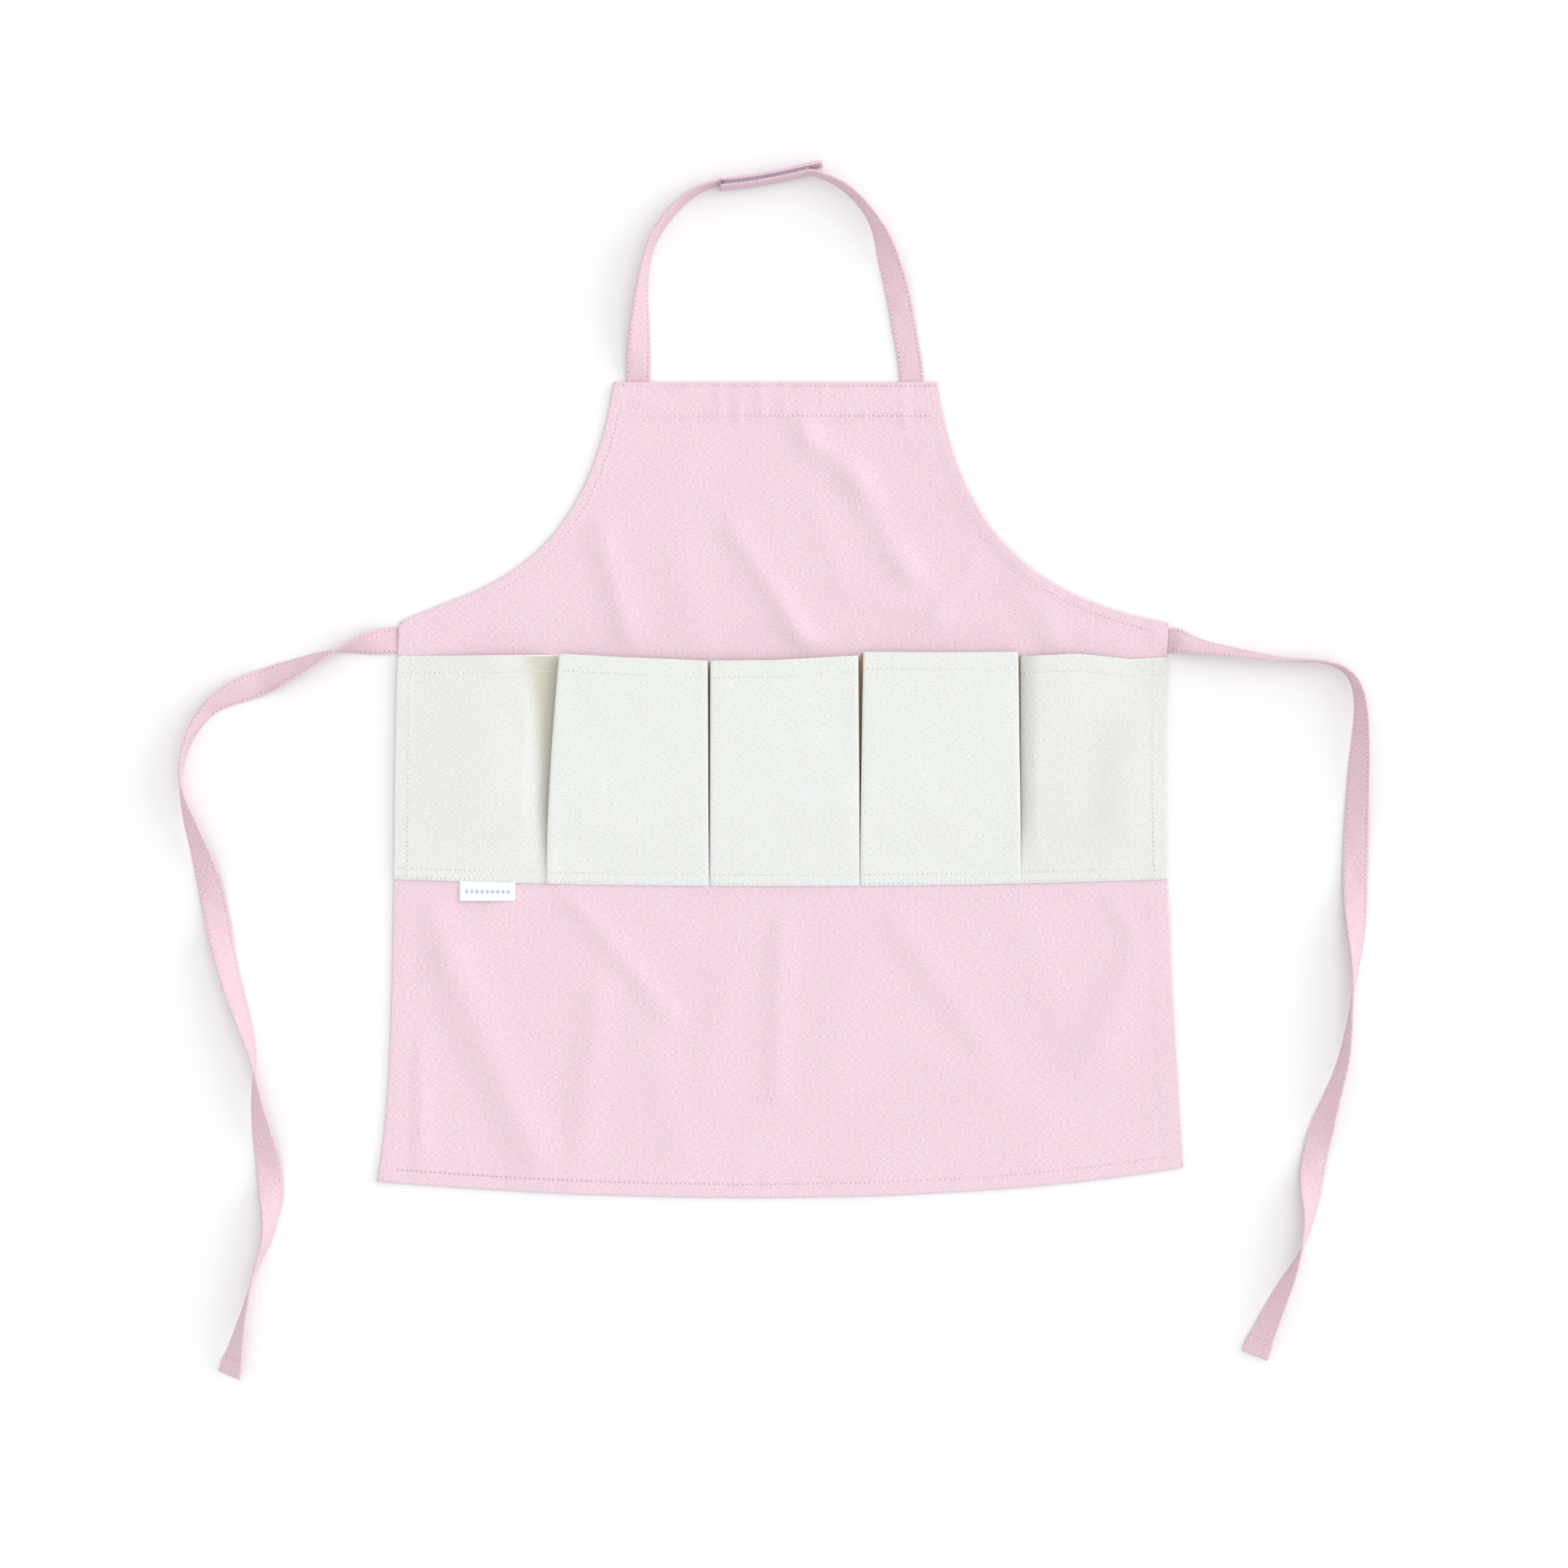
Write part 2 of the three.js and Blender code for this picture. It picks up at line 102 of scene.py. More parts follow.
# ---- Sizes of the cloth and the sewing ----
CANVAS = 0.8  # thicknesses of the cloths
POCKET_CANVAS = 0.6
GUSSET_CANVAS = 0.4
LABEL_CLOTH = 0.45
RIBBON = 1.3  # a strap or tie, folded from one strip
PRESSED = 0.62  # a ribbon's end, pressed flat where it is sewn down
HEM_LEG = 0.85  # the turned layers behind the cloth, pressed flat
POCKET_HEM_LEG = 0.45
BIB_HEM = 22.0  # widths of the turned hems
ARMHOLE_HEM = 7.0
SIDE_HEM = 11.0
BOTTOM_HEM = 9.2
POCKET_HEM = 11.0
GUSSET = 15.0  # a pleat's depth
END_HEM = 11.0  # length and thickness of a tie's rolled end
END_HEM_CLOTH = 2.4
STITCH_PITCH = 2.9
ROW_INSET = 1.55  # a ribbon's edge in to its row of stitches
ROW_END = 1.3  # a cross row stops this short of the ribbon's edge
BACK_STITCH = 0.45  # stitches on the back stay above the surface it lies on


# ---- Camera, looking straight down on the apron ----
CAMERA_PLACE = (0.0025, -0.0645, 2.6833)
LENS = 100
SENSOR = 36


def add_camera():
    data = bpy.data.cameras.new("camera")
    data.lens = LENS
    data.sensor_width = SENSOR
    data.dof.use_dof = False
    camera = bpy.data.objects.new("camera", data)
    camera.location = CAMERA_PLACE
    bpy.context.collection.objects.link(camera)
    bpy.context.scene.camera = camera


add_camera()


# ---- Small maths ----
def smooth(x, low, high):
    t = np.clip((np.asarray(x, float) - low) / (high - low), 0, 1)
    return t * t * (3 - 2 * t)


def unit(v):
    return v / np.maximum(np.linalg.norm(v, axis=-1, keepdims=True), 1e-12)


def bezier(a, b, c, d):
    def at(t):
        t = np.asarray(t, float)[..., None]
        s = 1 - t
        return s ** 3 * a + 3 * s * s * t * b + 3 * s * t * t * c + t ** 3 * d
    return at


def catmull(points, t):
    """Points on the smooth curve through the ones given; t runs from 0 to 1 in equal shares."""
    points = np.asarray(points, float)
    before = 2 * points[0] - points[1]
    after = 2 * points[-1] - points[-2]
    p = np.vstack([before[None], points, after[None]])
    place = np.clip(np.asarray(t, float), 0, 1) * (len(points) - 1)
    i = np.minimum(place.astype(int), len(points) - 2)
    w = (place - i)[:, None]
    p0, p1, p2, p3 = p[i], p[i + 1], p[i + 2], p[i + 3]
    m1 = 0.5 * (p2 - p0)
    m2 = 0.5 * (p3 - p1)
    cubic = 2 * p1 - 2 * p2 + m1 + m2
    square = -3 * p1 + 3 * p2 - 2 * m1 - m2
    return ((cubic * w + square) * w + m1) * w + p1


def run_along(points):
    """How far each point of a polyline lies along it."""
    steps = np.linalg.norm(np.diff(points, axis=0), axis=1)
    return np.concatenate([[0], np.cumsum(steps)])


def polyline_length(points):
    return np.linalg.norm(np.diff(points, axis=0), axis=1).sum()


def read_off(points, marks, wanted):
    """A polyline read at places between the marks that its points carry."""
    return np.stack([np.interp(wanted, marks, points[:, k]) for k in range(points.shape[1])], 1)


def spread(points, shares):
    """The polyline's points at the shares given of its length."""
    along = run_along(points)
    return read_off(points, along, np.asarray(shares) * along[-1])


def even(points, count):
    """The polyline with its points spread evenly along it."""
    along = run_along(points)
    return read_off(points, along, np.linspace(0, along[-1], count))


EASE = 18  # the length over which fine steps grow into coarse ones


def paced(length, low_zone, high_zone, fine, coarse):
    """Shares of a length with fine steps near its two ends and coarse ones between them."""
    places = [0.0]
    while places[-1] < length:
        here = places[-1]
        from_low = smooth(here, low_zone, low_zone + EASE)
        from_high = smooth(length - here, high_zone, high_zone + EASE)
        from_end = max(from_low + from_high - 1, 0)
        places.append(here + fine + (coarse - fine) * float(from_end))
    return np.array(places) / places[-1]


# ---- Meshes ----
def add_mesh(name, points, faces, spots, finish):
    """A closed mesh in millimetres. spots gives each point's place on the flat cloth, for the weave."""
    corners = points[np.array([f[:3] for f in faces])]
    volume = np.einsum("ij,ij->i", corners[:, 0], np.cross(corners[:, 1], corners[:, 2])).sum()
    if volume < 0:
        faces = [f[::-1] for f in faces]
    mesh = bpy.data.meshes.new(name)
    mesh.from_pydata((points * MM).tolist(), [], faces)
    layer = mesh.uv_layers.new(name="cloth")
    loops = np.empty(len(mesh.loops), np.int64)
    mesh.loops.foreach_get("vertex_index", loops)
    layer.data.foreach_set("uv", (spots * MM)[loops].astype(np.float32).ravel())
    mesh.polygons.foreach_set("use_smooth", np.ones(len(mesh.polygons), bool))
    mesh.materials.append(finish)
    mesh.update()
    piece = bpy.data.objects.new(name, mesh)
    bpy.context.collection.objects.link(piece)
    return piece


def sweep(name, rings, spots, finish):
    """A closed tube through rings of points, capped at both ends."""
    stations, around = rings.shape[:2]
    base = np.arange(stations * around).reshape(stations, around)
    faces = []
    for k in range(around):
        n = (k + 1) % around
        a, b = base[:-1, k], base[:-1, n]
        c, d = base[1:, n], base[1:, k]
        faces += np.stack([a, b, c, d], 1).tolist()
    faces.append(base[0, ::-1].tolist())
    faces.append(base[-1].tolist())
    return add_mesh(name, rings.reshape(-1, 3), faces, spots.reshape(-1, 2), finish)


def grid_rim(rows, columns):
    """The rows and columns of a grid's outermost points, once round."""
    rim = [(0, c) for c in range(columns)]
    rim += [(r, columns - 1) for r in range(1, rows)]
    rim += [(rows - 1, c) for c in range(columns - 2, -1, -1)]
    rim += [(r, 0) for r in range(rows - 2, 0, -1)]
    return np.array(rim).T


CUT_EDGE_BULGE = 0.3  # how far a cut edge rounds outwards, as a share of the thickness


def slab(name, middle, thickness, spots, finish):
    """A cloth of even thickness around its middle surface, with a rounded cut edge."""
    rows, columns = middle.shape[:2]
    along = np.gradient(middle, axis=1)
    up = np.gradient(middle, axis=0)
    normal = unit(np.cross(along, up))
    top = middle + normal * thickness / 2
    low = middle - normal * thickness / 2
    rr, cc = grid_rim(rows, columns)
    edge = middle[rr, cc]
    ahead = unit(np.roll(edge, -1, 0) - np.roll(edge, 1, 0))
    side = unit(np.cross(ahead, normal[rr, cc]))
    bulge = edge + side * thickness * CUT_EDGE_BULGE
    n = rows * columns
    points = np.vstack([top.reshape(-1, 3), low.reshape(-1, 3), bulge])
    grid = np.arange(n).reshape(rows, columns)
    a, b = grid[:-1, :-1].ravel(), grid[:-1, 1:].ravel()
    c, d = grid[1:, 1:].ravel(), grid[1:, :-1].ravel()
    faces = np.stack([a, b, c, d], 1).tolist()
    faces += np.stack([d + n, c + n, b + n, a + n], 1).tolist()
    ring = grid[rr, cc]
    m = len(rr)
    outer = 2 * n + np.arange(m)
    after = np.roll(np.arange(m), -1)
    faces += np.stack([ring[after], ring, outer, outer[after]], 1).tolist()
    faces += np.stack([outer[after], outer, ring + n, ring[after] + n], 1).tolist()
    flat = spots.reshape(-1, 2)
    return add_mesh(name, points, faces, np.vstack([flat, flat, flat[ring]]), finish)


def finish_piece(piece, nodes=()):
    if nodes:
        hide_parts(*nodes)
    return piece


# ---- Finishes ----
def add_node(tree, kind, inputs=None, **settings):
    node = tree.nodes.new(kind)
    for key, value in settings.items():
        setattr(node, key, value)
    for key, value in (inputs or {}).items():
        node.inputs[key].default_value = value
    return node


def wired(tree, kind, links, inputs=None, **settings):
    """A node with some of its inputs linked: links gives the output that each of them reads."""
    node = add_node(tree, kind, inputs, **settings)
    for key, output in links.items():
        tree.links.new(output, node.inputs[key])
    return node


SHEEN_ROUGHNESS = 0.6


def new_finish(name, roughness, specular=0.3, sheen=0.0):
    finish = bpy.data.materials.new(name)
    finish.use_nodes = True
    tree = finish.node_tree
    shader = tree.nodes["Principled BSDF"]
    shader.inputs["Roughness"].default_value = roughness
    shader.inputs["Specular IOR Level"].default_value = specular
    shader.inputs["Sheen Weight"].default_value = sheen
    shader.inputs["Sheen Roughness"].default_value = SHEEN_ROUGHNESS
    return finish, tree, shader


def cloth_place(tree):
    """The place on the flat cloth, in metres."""
    return add_node(tree, "ShaderNodeUVMap", uv_map="cloth").outputs["UV"]


def raise_surface(tree, shader, height, strength, depth, invert=False):
    """Bump from a height, as deep as given in metres."""
    bump = wired(tree, "ShaderNodeBump", {"Height": height}, {"Strength": strength, "Distance": depth},
                 invert=invert)
    tree.links.new(bump.outputs["Normal"], shader.inputs["Normal"])


def cloth_noise(tree, across, along, detail=2.0, roughness=0.6):
    """Noise on the flat cloth with its own scale across and along, per metre."""
    stretch = wired(tree, "ShaderNodeMapping", {"Vector": cloth_place(tree)}, {"Scale": (across, along, 1)})
    noise = wired(tree, "ShaderNodeTexNoise", {"Vector": stretch.outputs["Vector"]},
                  {"Scale": 1.0, "Detail": detail, "Roughness": roughness}, noise_dimensions="2D")
    return noise.outputs["Fac"]


WAVE_PERIOD = math.tau / 20  # the width of one band of a wave texture at scale 1


def thread_wave(tree, direction, pitch):
    """Evenly spaced threads, slightly uneven as yarn is."""
    settings = {"Scale": WAVE_PERIOD / (pitch * MM), "Distortion": 1.4, "Detail": 1.0, "Detail Scale": 0.12}
    wave = wired(tree, "ShaderNodeTexWave", {"Vector": cloth_place(tree)}, settings,
                 wave_type="BANDS", bands_direction=direction)
    return wave.outputs["Fac"]


def ramp(tree, value, low, high):
    node = wired(tree, "ShaderNodeMapRange", {"Value": value}, {"From Min": low, "From Max": high},
                 interpolation_type="SMOOTHSTEP")
    return node.outputs["Result"]


def mix_colour(tree, fac, a, b, blend="MIX"):
    node = add_node(tree, "ShaderNodeMix", data_type="RGBA", blend_type=blend)
    for key, value in ((0, fac), (6, a), (7, b)):
        if isinstance(value, (tuple, list)):
            node.inputs[key].default_value = (*value, 1)
        elif isinstance(value, float):
            node.inputs[key].default_value = value
        else:
            tree.links.new(value, node.inputs[key])
    return node.outputs[2]


def combine(tree, operation, a, b):
    node = add_node(tree, "ShaderNodeMath", operation=operation)
    for key, value in enumerate((a, b)):
        if isinstance(value, (int, float)):
            node.inputs[key].default_value = value
        else:
            tree.links.new(value, node.inputs[key])
    return node.outputs[0]


# noise on canvas: its scale across and along the cloth, per metre, and its detail
WEFT_YARN = (460, 2100, 1.0)
WARP_YARN = (2100, 760, 1.0)
SLUB = (130, 1300, 1.0)
CLOUD = (16, 16, 3.0)
WEFT_PITCH = 0.72
WARP_PITCH = 0.6


def canvas_colour(tree, weft_yarn, warp_yarn, base, pale, deep):
    """Pale weft, deep flecks of warp, pale slubs and soft clouds over the base colour."""
    slub, cloud = cloth_noise(tree, *SLUB), cloth_noise(tree, *CLOUD)
    layers = (
        (weft_yarn, 0.38, 0.62, None, pale), (warp_yarn, 0.5, 0.72, 0.55, deep),
        (slub, 0.62, 0.8, 0.4, pale), (cloud, 0.35, 0.7, 0.2, base),
    )
    colour = base
    for noise, low, high, strength, tint in layers:
        share = ramp(tree, noise, low, high)
        if strength:
            share = combine(tree, "MULTIPLY", share, strength)
        colour = mix_colour(tree, share, colour, tint)
    return colour


def canvas_finish(name, base, pale, deep, pleat=None):
    """Plain-weave cotton canvas: weft threads across, warp along, mixed pale and deep yarn."""
    finish, tree, shader = new_finish(name, 0.92, 0.2, 0.08)
    weft_yarn = cloth_noise(tree, *WEFT_YARN)
    warp_yarn = cloth_noise(tree, *WARP_YARN)
    colour = canvas_colour(tree, weft_yarn, warp_yarn, base, pale, deep)
    # pleat: a tan of painted shade, mixed in by a point attribute where pleats and folds fall into shade
    if pleat:
        painted_shade_share = add_node(tree, "ShaderNodeAttribute", attribute_name="pleat")
        colour = mix_colour(tree, painted_shade_share.outputs["Fac"], colour, pleat)
    tree.links.new(colour, shader.inputs["Base Color"])
    weft, warp = thread_wave(tree, "Y", WEFT_PITCH), thread_wave(tree, "X", WARP_PITCH)
    threads = combine(tree, "MULTIPLY", weft, warp)
    weft_rise = combine(tree, "MULTIPLY", weft_yarn, 0.9)
    warp_rise = combine(tree, "MULTIPLY", warp_yarn, 0.6)
    yarn = combine(tree, "ADD", weft_rise, warp_rise)
    height = combine(tree, "ADD", yarn, combine(tree, "MULTIPLY", threads, 0.7))
    raise_surface(tree, shader, height, 0.5, 0.00022)
    return finish


def thread_finish(name, colour, shade):
    """Sewing thread with a fine twist."""
    finish, tree, shader = new_finish(name, 0.7, 0.35, 0.1)
    coordinates = add_node(tree, "ShaderNodeTexCoord")
    noise = wired(tree, "ShaderNodeTexNoise", {"Vector": coordinates.outputs["Object"]},
                  {"Scale": 420.0, "Detail": 2.0}).outputs["Fac"]
    twist = ramp(tree, noise, 0.35, 0.65)
    tree.links.new(mix_colour(tree, twist, colour, shade), shader.inputs["Base Color"])
    raise_surface(tree, shader, noise, 0.4, 0.0001)
    return finish


def tape_finish(name, base, deep, grain):
    """Hook or loop tape: a dense field of small bristles."""
    finish, tree, shader = new_finish(name, 0.8, 0.3, 0.15)
    cells = wired(tree, "ShaderNodeTexVoronoi", {"Vector": cloth_place(tree)}, {"Scale": grain},
                  feature="F1", voronoi_dimensions="2D")
    height = ramp(tree, cells.outputs["Distance"], 0.1, 0.6)
    tree.links.new(mix_colour(tree, height, base, deep), shader.inputs["Base Color"])
    raise_surface(tree, shader, height, 0.8, 0.0005, invert=True)
    return finish


LOZENGE_STEP = 0.0016  # half the way from one lozenge to the next, in metres
LOZENGE = (0.0021, 0.0017)  # a lozenge's edge, from the ground to the mark
ROW_STOP = (0.0146, 0.0144)  # where the row of lozenges stops at both sides


def label_finish(name):
    """Satin-woven ribbon, white, with a row of small woven lozenges."""
    finish, tree, shader = new_finish(name, 0.55, 0.4, 0.1)
    split = wired(tree, "ShaderNodeSeparateXYZ", {0: cloth_place(tree)})
    x = combine(tree, "PINGPONG", split.outputs["X"], LOZENGE_STEP)
    y = combine(tree, "ABSOLUTE", split.outputs["Y"], 0)
    lozenge = combine(tree, "ADD", combine(tree, "MULTIPLY", x, 1.35), y)
    inside_row = ramp(tree, combine(tree, "ABSOLUTE", split.outputs["X"], 0), *ROW_STOP)
    mark = combine(tree, "MULTIPLY", ramp(tree, lozenge, *LOZENGE), inside_row)
    weave = cloth_noise(tree, 900, 3200)
    ground = mix_colour(tree, weave, (0.9, 0.91, 0.93), (0.8, 0.815, 0.84))
    woven = mix_colour(tree, weave, (0.45, 0.55, 0.68), (0.5, 0.5, 0.58))
    tree.links.new(mix_colour(tree, mark, ground, woven), shader.inputs["Base Color"])
    raise_surface(tree, shader, combine(tree, "ADD", thread_wave(tree, "Y", 0.3), mark), 0.5, 0.0001)
    return finish


PINK = canvas_finish("pink_canvas", (0.680, 0.495, 0.571), (0.772, 0.612, 0.681), (0.613, 0.413, 0.494))
# painted shade: the pink canvas made a little darker for straps and ties, standing in for the shade on their
# tilted faces
RIBBON_PINK_SHADED = canvas_finish("pink_ribbon_shaded", (0.640, 0.449, 0.510), (0.727, 0.555, 0.607),
                            (0.577, 0.375, 0.441))
# painted shade: the warm tan that natural canvas takes in pleat valleys and folds
PLEAT_SHADE_TINT = (0.46, 0.42, 0.32)
NATURAL = canvas_finish("natural_canvas", (0.645, 0.666, 0.638), (0.738, 0.762, 0.746),
                        (0.568, 0.559, 0.510), pleat=PLEAT_SHADE_TINT)
# painted shade: the gussets' natural canvas, painted a deep brown to stand for the shade inside the pleats
GUSSET_SHADE_CANVAS = canvas_finish("natural_canvas_gusset_shade", (0.42, 0.285, 0.195), (0.48, 0.34, 0.25), (0.36, 0.24, 0.16))
PINK_THREAD = thread_finish("pink_thread", (0.80, 0.635, 0.70), (0.70, 0.52, 0.59))
NATURAL_THREAD = thread_finish("natural_thread", (0.80, 0.80, 0.75), (0.68, 0.67, 0.60))
# painted shade: dark dots between stitches, darker copies of the canvas standing for the shade where the
# needle pierced
PINK_HOLE_SHADE = thread_finish("pink_needle_hole_shade", (0.49, 0.29, 0.36), (0.43, 0.24, 0.31))
NATURAL_HOLE_SHADE = thread_finish("natural_needle_hole_shade", (0.52, 0.51, 0.45), (0.46, 0.45, 0.39))
HOOK_TAPE = tape_finish("hook_tape", (0.58, 0.50, 0.59), (0.44, 0.37, 0.46), 1500)
LOOP_TAPE = tape_finish("loop_tape", (0.64, 0.56, 0.65), (0.50, 0.43, 0.52), 2600)
LABEL = label_finish("woven_label")


# ---- Outline of the panel: six edges, counterclockwise from the bib's right corner ----
def near(corner, x, y):
    return corner + np.array([x, y])


def line(a, b):
    return lambda t: a + np.asarray(t, float)[..., None] * (b - a)


DIP = (HEM_RIGHT[0] - HEM_LEFT[0]) * 0.3  # how far the bottom hem's curve pulls in from its corners
EDGES = {
    "bib": line(BIB_RIGHT, BIB_LEFT),
    "left_armhole": bezier(BIB_LEFT, near(BIB_LEFT, -20, -127), near(WAIST_LEFT, 40, 22), WAIST_LEFT),
    "left_side": bezier(WAIST_LEFT, near(WAIST_LEFT, -5, -135), near(HEM_LEFT, 13, 55), HEM_LEFT),
    "bottom": bezier(HEM_LEFT, near(HEM_LEFT, DIP, -12.8), near(HEM_RIGHT, -DIP, -25.2), HEM_RIGHT),
    "right_side": bezier(HEM_RIGHT, near(HEM_RIGHT, -5, 90), near(WAIST_RIGHT, -6, -130), WAIST_RIGHT),
    "right_armhole": bezier(WAIST_RIGHT, near(WAIST_RIGHT, -89, 17), near(BIB_RIGHT, 14, -89), BIB_RIGHT),
}
HEM_WIDTHS = {"bib": BIB_HEM, "left_armhole": ARMHOLE_HEM, "left_side": SIDE_HEM, "bottom": BOTTOM_HEM,
              "right_side": SIDE_HEM, "right_armhole": ARMHOLE_HEM}
ORDER = list(EDGES)
SPARE = 6.0  # an edge's line runs on this far past its ends, to cross its neighbours


def edge_points(name, fine, count):
    """An edge as evenly spaced points, measured on a finer line."""
    return even(EDGES[name](np.linspace(0, 1, fine)), count)


def offset_line(name, inward):
    """An edge moved inwards by a distance and run on past both of its ends."""
    points = edge_points(name, 600, 240)
    first = points[0] + unit(points[0] - points[1]) * SPARE
    last = points[-1] + unit(points[-1] - points[-2]) * SPARE
    points = np.vstack([first, points, last])
    ahead = unit(np.gradient(points, axis=0))
    return points + inward * np.stack([-ahead[:, 1], ahead[:, 0]], 1)


def crossing(a, b):
    """Where two polylines cross: the place along each, in point numbers."""
    p, r = a[:-1, None], (a[1:] - a[:-1])[:, None]
    q, s = b[None, :-1], (b[1:] - b[:-1])[None]
    cross = r[..., 0] * s[..., 1] - r[..., 1] * s[..., 0]
    cross = np.where(np.abs(cross) < 1e-9, 1e-9, cross)
    d = q - p
    t = (d[..., 0] * s[..., 1] - d[..., 1] * s[..., 0]) / cross
    u = (d[..., 0] * r[..., 1] - d[..., 1] * r[..., 0]) / cross
    hit = np.argwhere((t >= 0) & (t <= 1) & (u >= 0) & (u <= 1))
    if not len(hit):
        return None
    i, j = hit[0]
    return i + t[i, j], j + u[i, j]


def cut_line(points, start, stop, count):
    """The stretch of a polyline between two places on it, evenly spaced."""
    numbers = np.arange(len(points))
    inside = numbers[(numbers > start) & (numbers < stop)]
    wanted = np.concatenate([[start], inside, [stop]])
    return even(read_off(points, numbers, wanted), count)


def mitred(name, inward, count):
    """An edge moved inwards and cut where it meets its neighbours' lines, so the corners are mitred."""
    i = ORDER.index(name)
    before, after = ORDER[i - 1], ORDER[(i + 1) % len(ORDER)]
    own = offset_line(name, inward)
    ends = []
    for other in (before, after):
        share = HEM_WIDTHS[other] / HEM_WIDTHS[name] if inward > 0 else 1.0
        ends.append(crossing(own, offset_line(other, inward * share)))
    start = ends[0][0] if ends[0] else 1.0
    stop = ends[1][0] if ends[1] else len(own) - 2.0
    return cut_line(own, start, stop, count)


# ---- The way the cloth lies ----
# soft folds, each from one place to another: x and y of both ends, half width and height
FOLDS = [
    (15, 182, 17, 150, 7, 0.9), (17, 150, 48, 122, 8, 1.2), (48, 122, 76, 70, 9, 1.3),
    (76, 70, 90, 58, 9, 0.7),
    (-26, 88, 15, 26, 8, 1.5), (10, 30, 20, 18, 8, 0.9),
    (-110, 88, -95, 34, 8, 1.6), (-112, 92, -62, 130, 14, 0.8),
    (116, 114, 150, 70, 8, 1.1), (98, 42, 118, 68, 7, 1.0), (165, 48, 168, 16, 8, 1.2),
    (146, 74, 152, 50, 6, 0.6),
    (24, 100, 38, 60, 9, 0.6), (-60, 70, -52, 30, 14, 0.7), (60, 50, 90, 40, 10, 0.6),
    (-213, -150, -152, -290, 13, 2.0), (-222, -225, -220, -296, 6, 1.2), (-130, -132, -70, -204, 7, 1.3),
    (1, -156, -2, -250, 7, 1.1), (-112, -200, -124, -312, 10, 1.2), (76, -155, 126, -226, 10, 1.1),
    (236, -145, 196, -225, 14, 1.5), (196, -225, 56, -298, 16, 1.3), (202, -128, 214, -152, 6, 0.8),
    (-34, -190, -42, -250, 12, 0.7), (40, -170, 36, -240, 16, 0.6), (-170, -140, -205, -170, 9, 0.9),
    (-80, -215, -60, -290, 12, 0.7), (150, -150, 170, -200, 12, 0.6), (100, -240, 150, -262, 14, 0.7),
    (-38, 184, -37, 164, 2.6, 0.7), (-25, 184, -26, 162, 3.2, 0.8), (-12, 184, -11, 165, 2.6, 0.7),
    (2, 184, 3, 166, 2.6, 0.6), (26, 184, 27, 168, 2.6, 0.5), (76, 182, 77, 160, 3.2, 0.9),
    (-88, 172, -70, 168, 4, 0.5),
    (-24, -318, -22, -300, 5, 0.8), (-8, -318, -7, -304, 4, 0.5), (60, -316, 62, -300, 6, 0.4),
    (-150, -314, -149, -298, 5, 0.5), (160, -306, 158, -292, 6, 0.5), (-236, -300, -238, -306, 6, 0.6),
]
FOLD_DEPTH = 1.45  # deepens them all alike
FOLD_END = 1.6  # how far a fold runs out past its ends, as a share of its half width


def fold_height(x, y):
    height = np.zeros_like(x)
    for x0, y0, x1, y1, half, rise in FOLDS:
        dx, dy = x1 - x0, y1 - y0
        length = math.hypot(dx, dy)
        along = ((x - x0) * dx + (y - y0) * dy) / length
        off = ((x - x0) * dy - (y - y0) * dx) / length
        past = np.maximum(np.maximum(-along, along - length), 0)
        height += rise * np.exp(-(off / half) ** 2 - (past / (half * FOLD_END)) ** 2)
    return height * FOLD_DEPTH


def ripple(x, y):
    """The slight unevenness of washed canvas."""
    slow = np.sin(x / 31 + 1.3 * np.sin(y / 47)) * np.sin(y / 38 + 0.8 * np.sin(x / 61))
    quick = np.sin(x / 11.3 + 1.7 * np.sin(y / 17)) * np.sin(y / 13.1 + 1.9 * np.sin(x / 23))
    return 0.28 * slow + 0.07 * quick


def in_band(y):
    """1 under the pocket band, where the cloth is held flat, and 0 away from it."""
    return smooth(y, FOOT_Y - 16, FOOT_Y - 1) * (1 - smooth(y, MOUTH_Y - 2, MOUTH_Y + 12))


def edge_reach(name):
    """For places on the cloth: how far they are from an edge, and how far along it."""
    points = edge_points(name, 400, 150)
    length = polyline_length(points)

    def reach(x, y):
        flat = np.stack([x.ravel(), y.ravel()], 1)
        gap = np.empty(len(flat))
        run = np.empty(len(flat))
        for part in np.array_split(np.arange(len(flat)), max(1, len(flat) // 4000)):
            off = np.linalg.norm(flat[part][:, None] - points[None], axis=2)
            best = np.clip(off.argmin(1), 1, len(points) - 2)
            ahead = unit(points[best + 1] - points[best - 1])
            away = flat[part] - points[best]
            slip = (away * ahead).sum(1)
            gap[part] = np.sqrt(np.maximum((away ** 2).sum(1) - np.clip(slip, -4, 4) ** 2, 0))
            run[part] = best / (len(points) - 1) * length + slip
        return gap.reshape(x.shape), run.reshape(x.shape)
    return reach


EDGE_REACH = {name: edge_reach(name) for name in ORDER}
STITCH_INSETS = {
    "bib": (2.2, BIB_HEM - 1.4), "left_armhole": (ARMHOLE_HEM - 1.0,), "right_armhole": (ARMHOLE_HEM - 1.0,),
    "left_side": (SIDE_HEM - 1.1,), "right_side": (SIDE_HEM - 1.1,), "bottom": (BOTTOM_HEM - 1.2,),
}
ROW_GROOVE = 0.34  # depth and half width of the groove that a row pulls into the cloth
ROW_GROOVE_HALF = 1.1
HEM_STEP = 0.35  # how far a hem's own thickness lifts the cloth
HEM_WAVE = 0.16


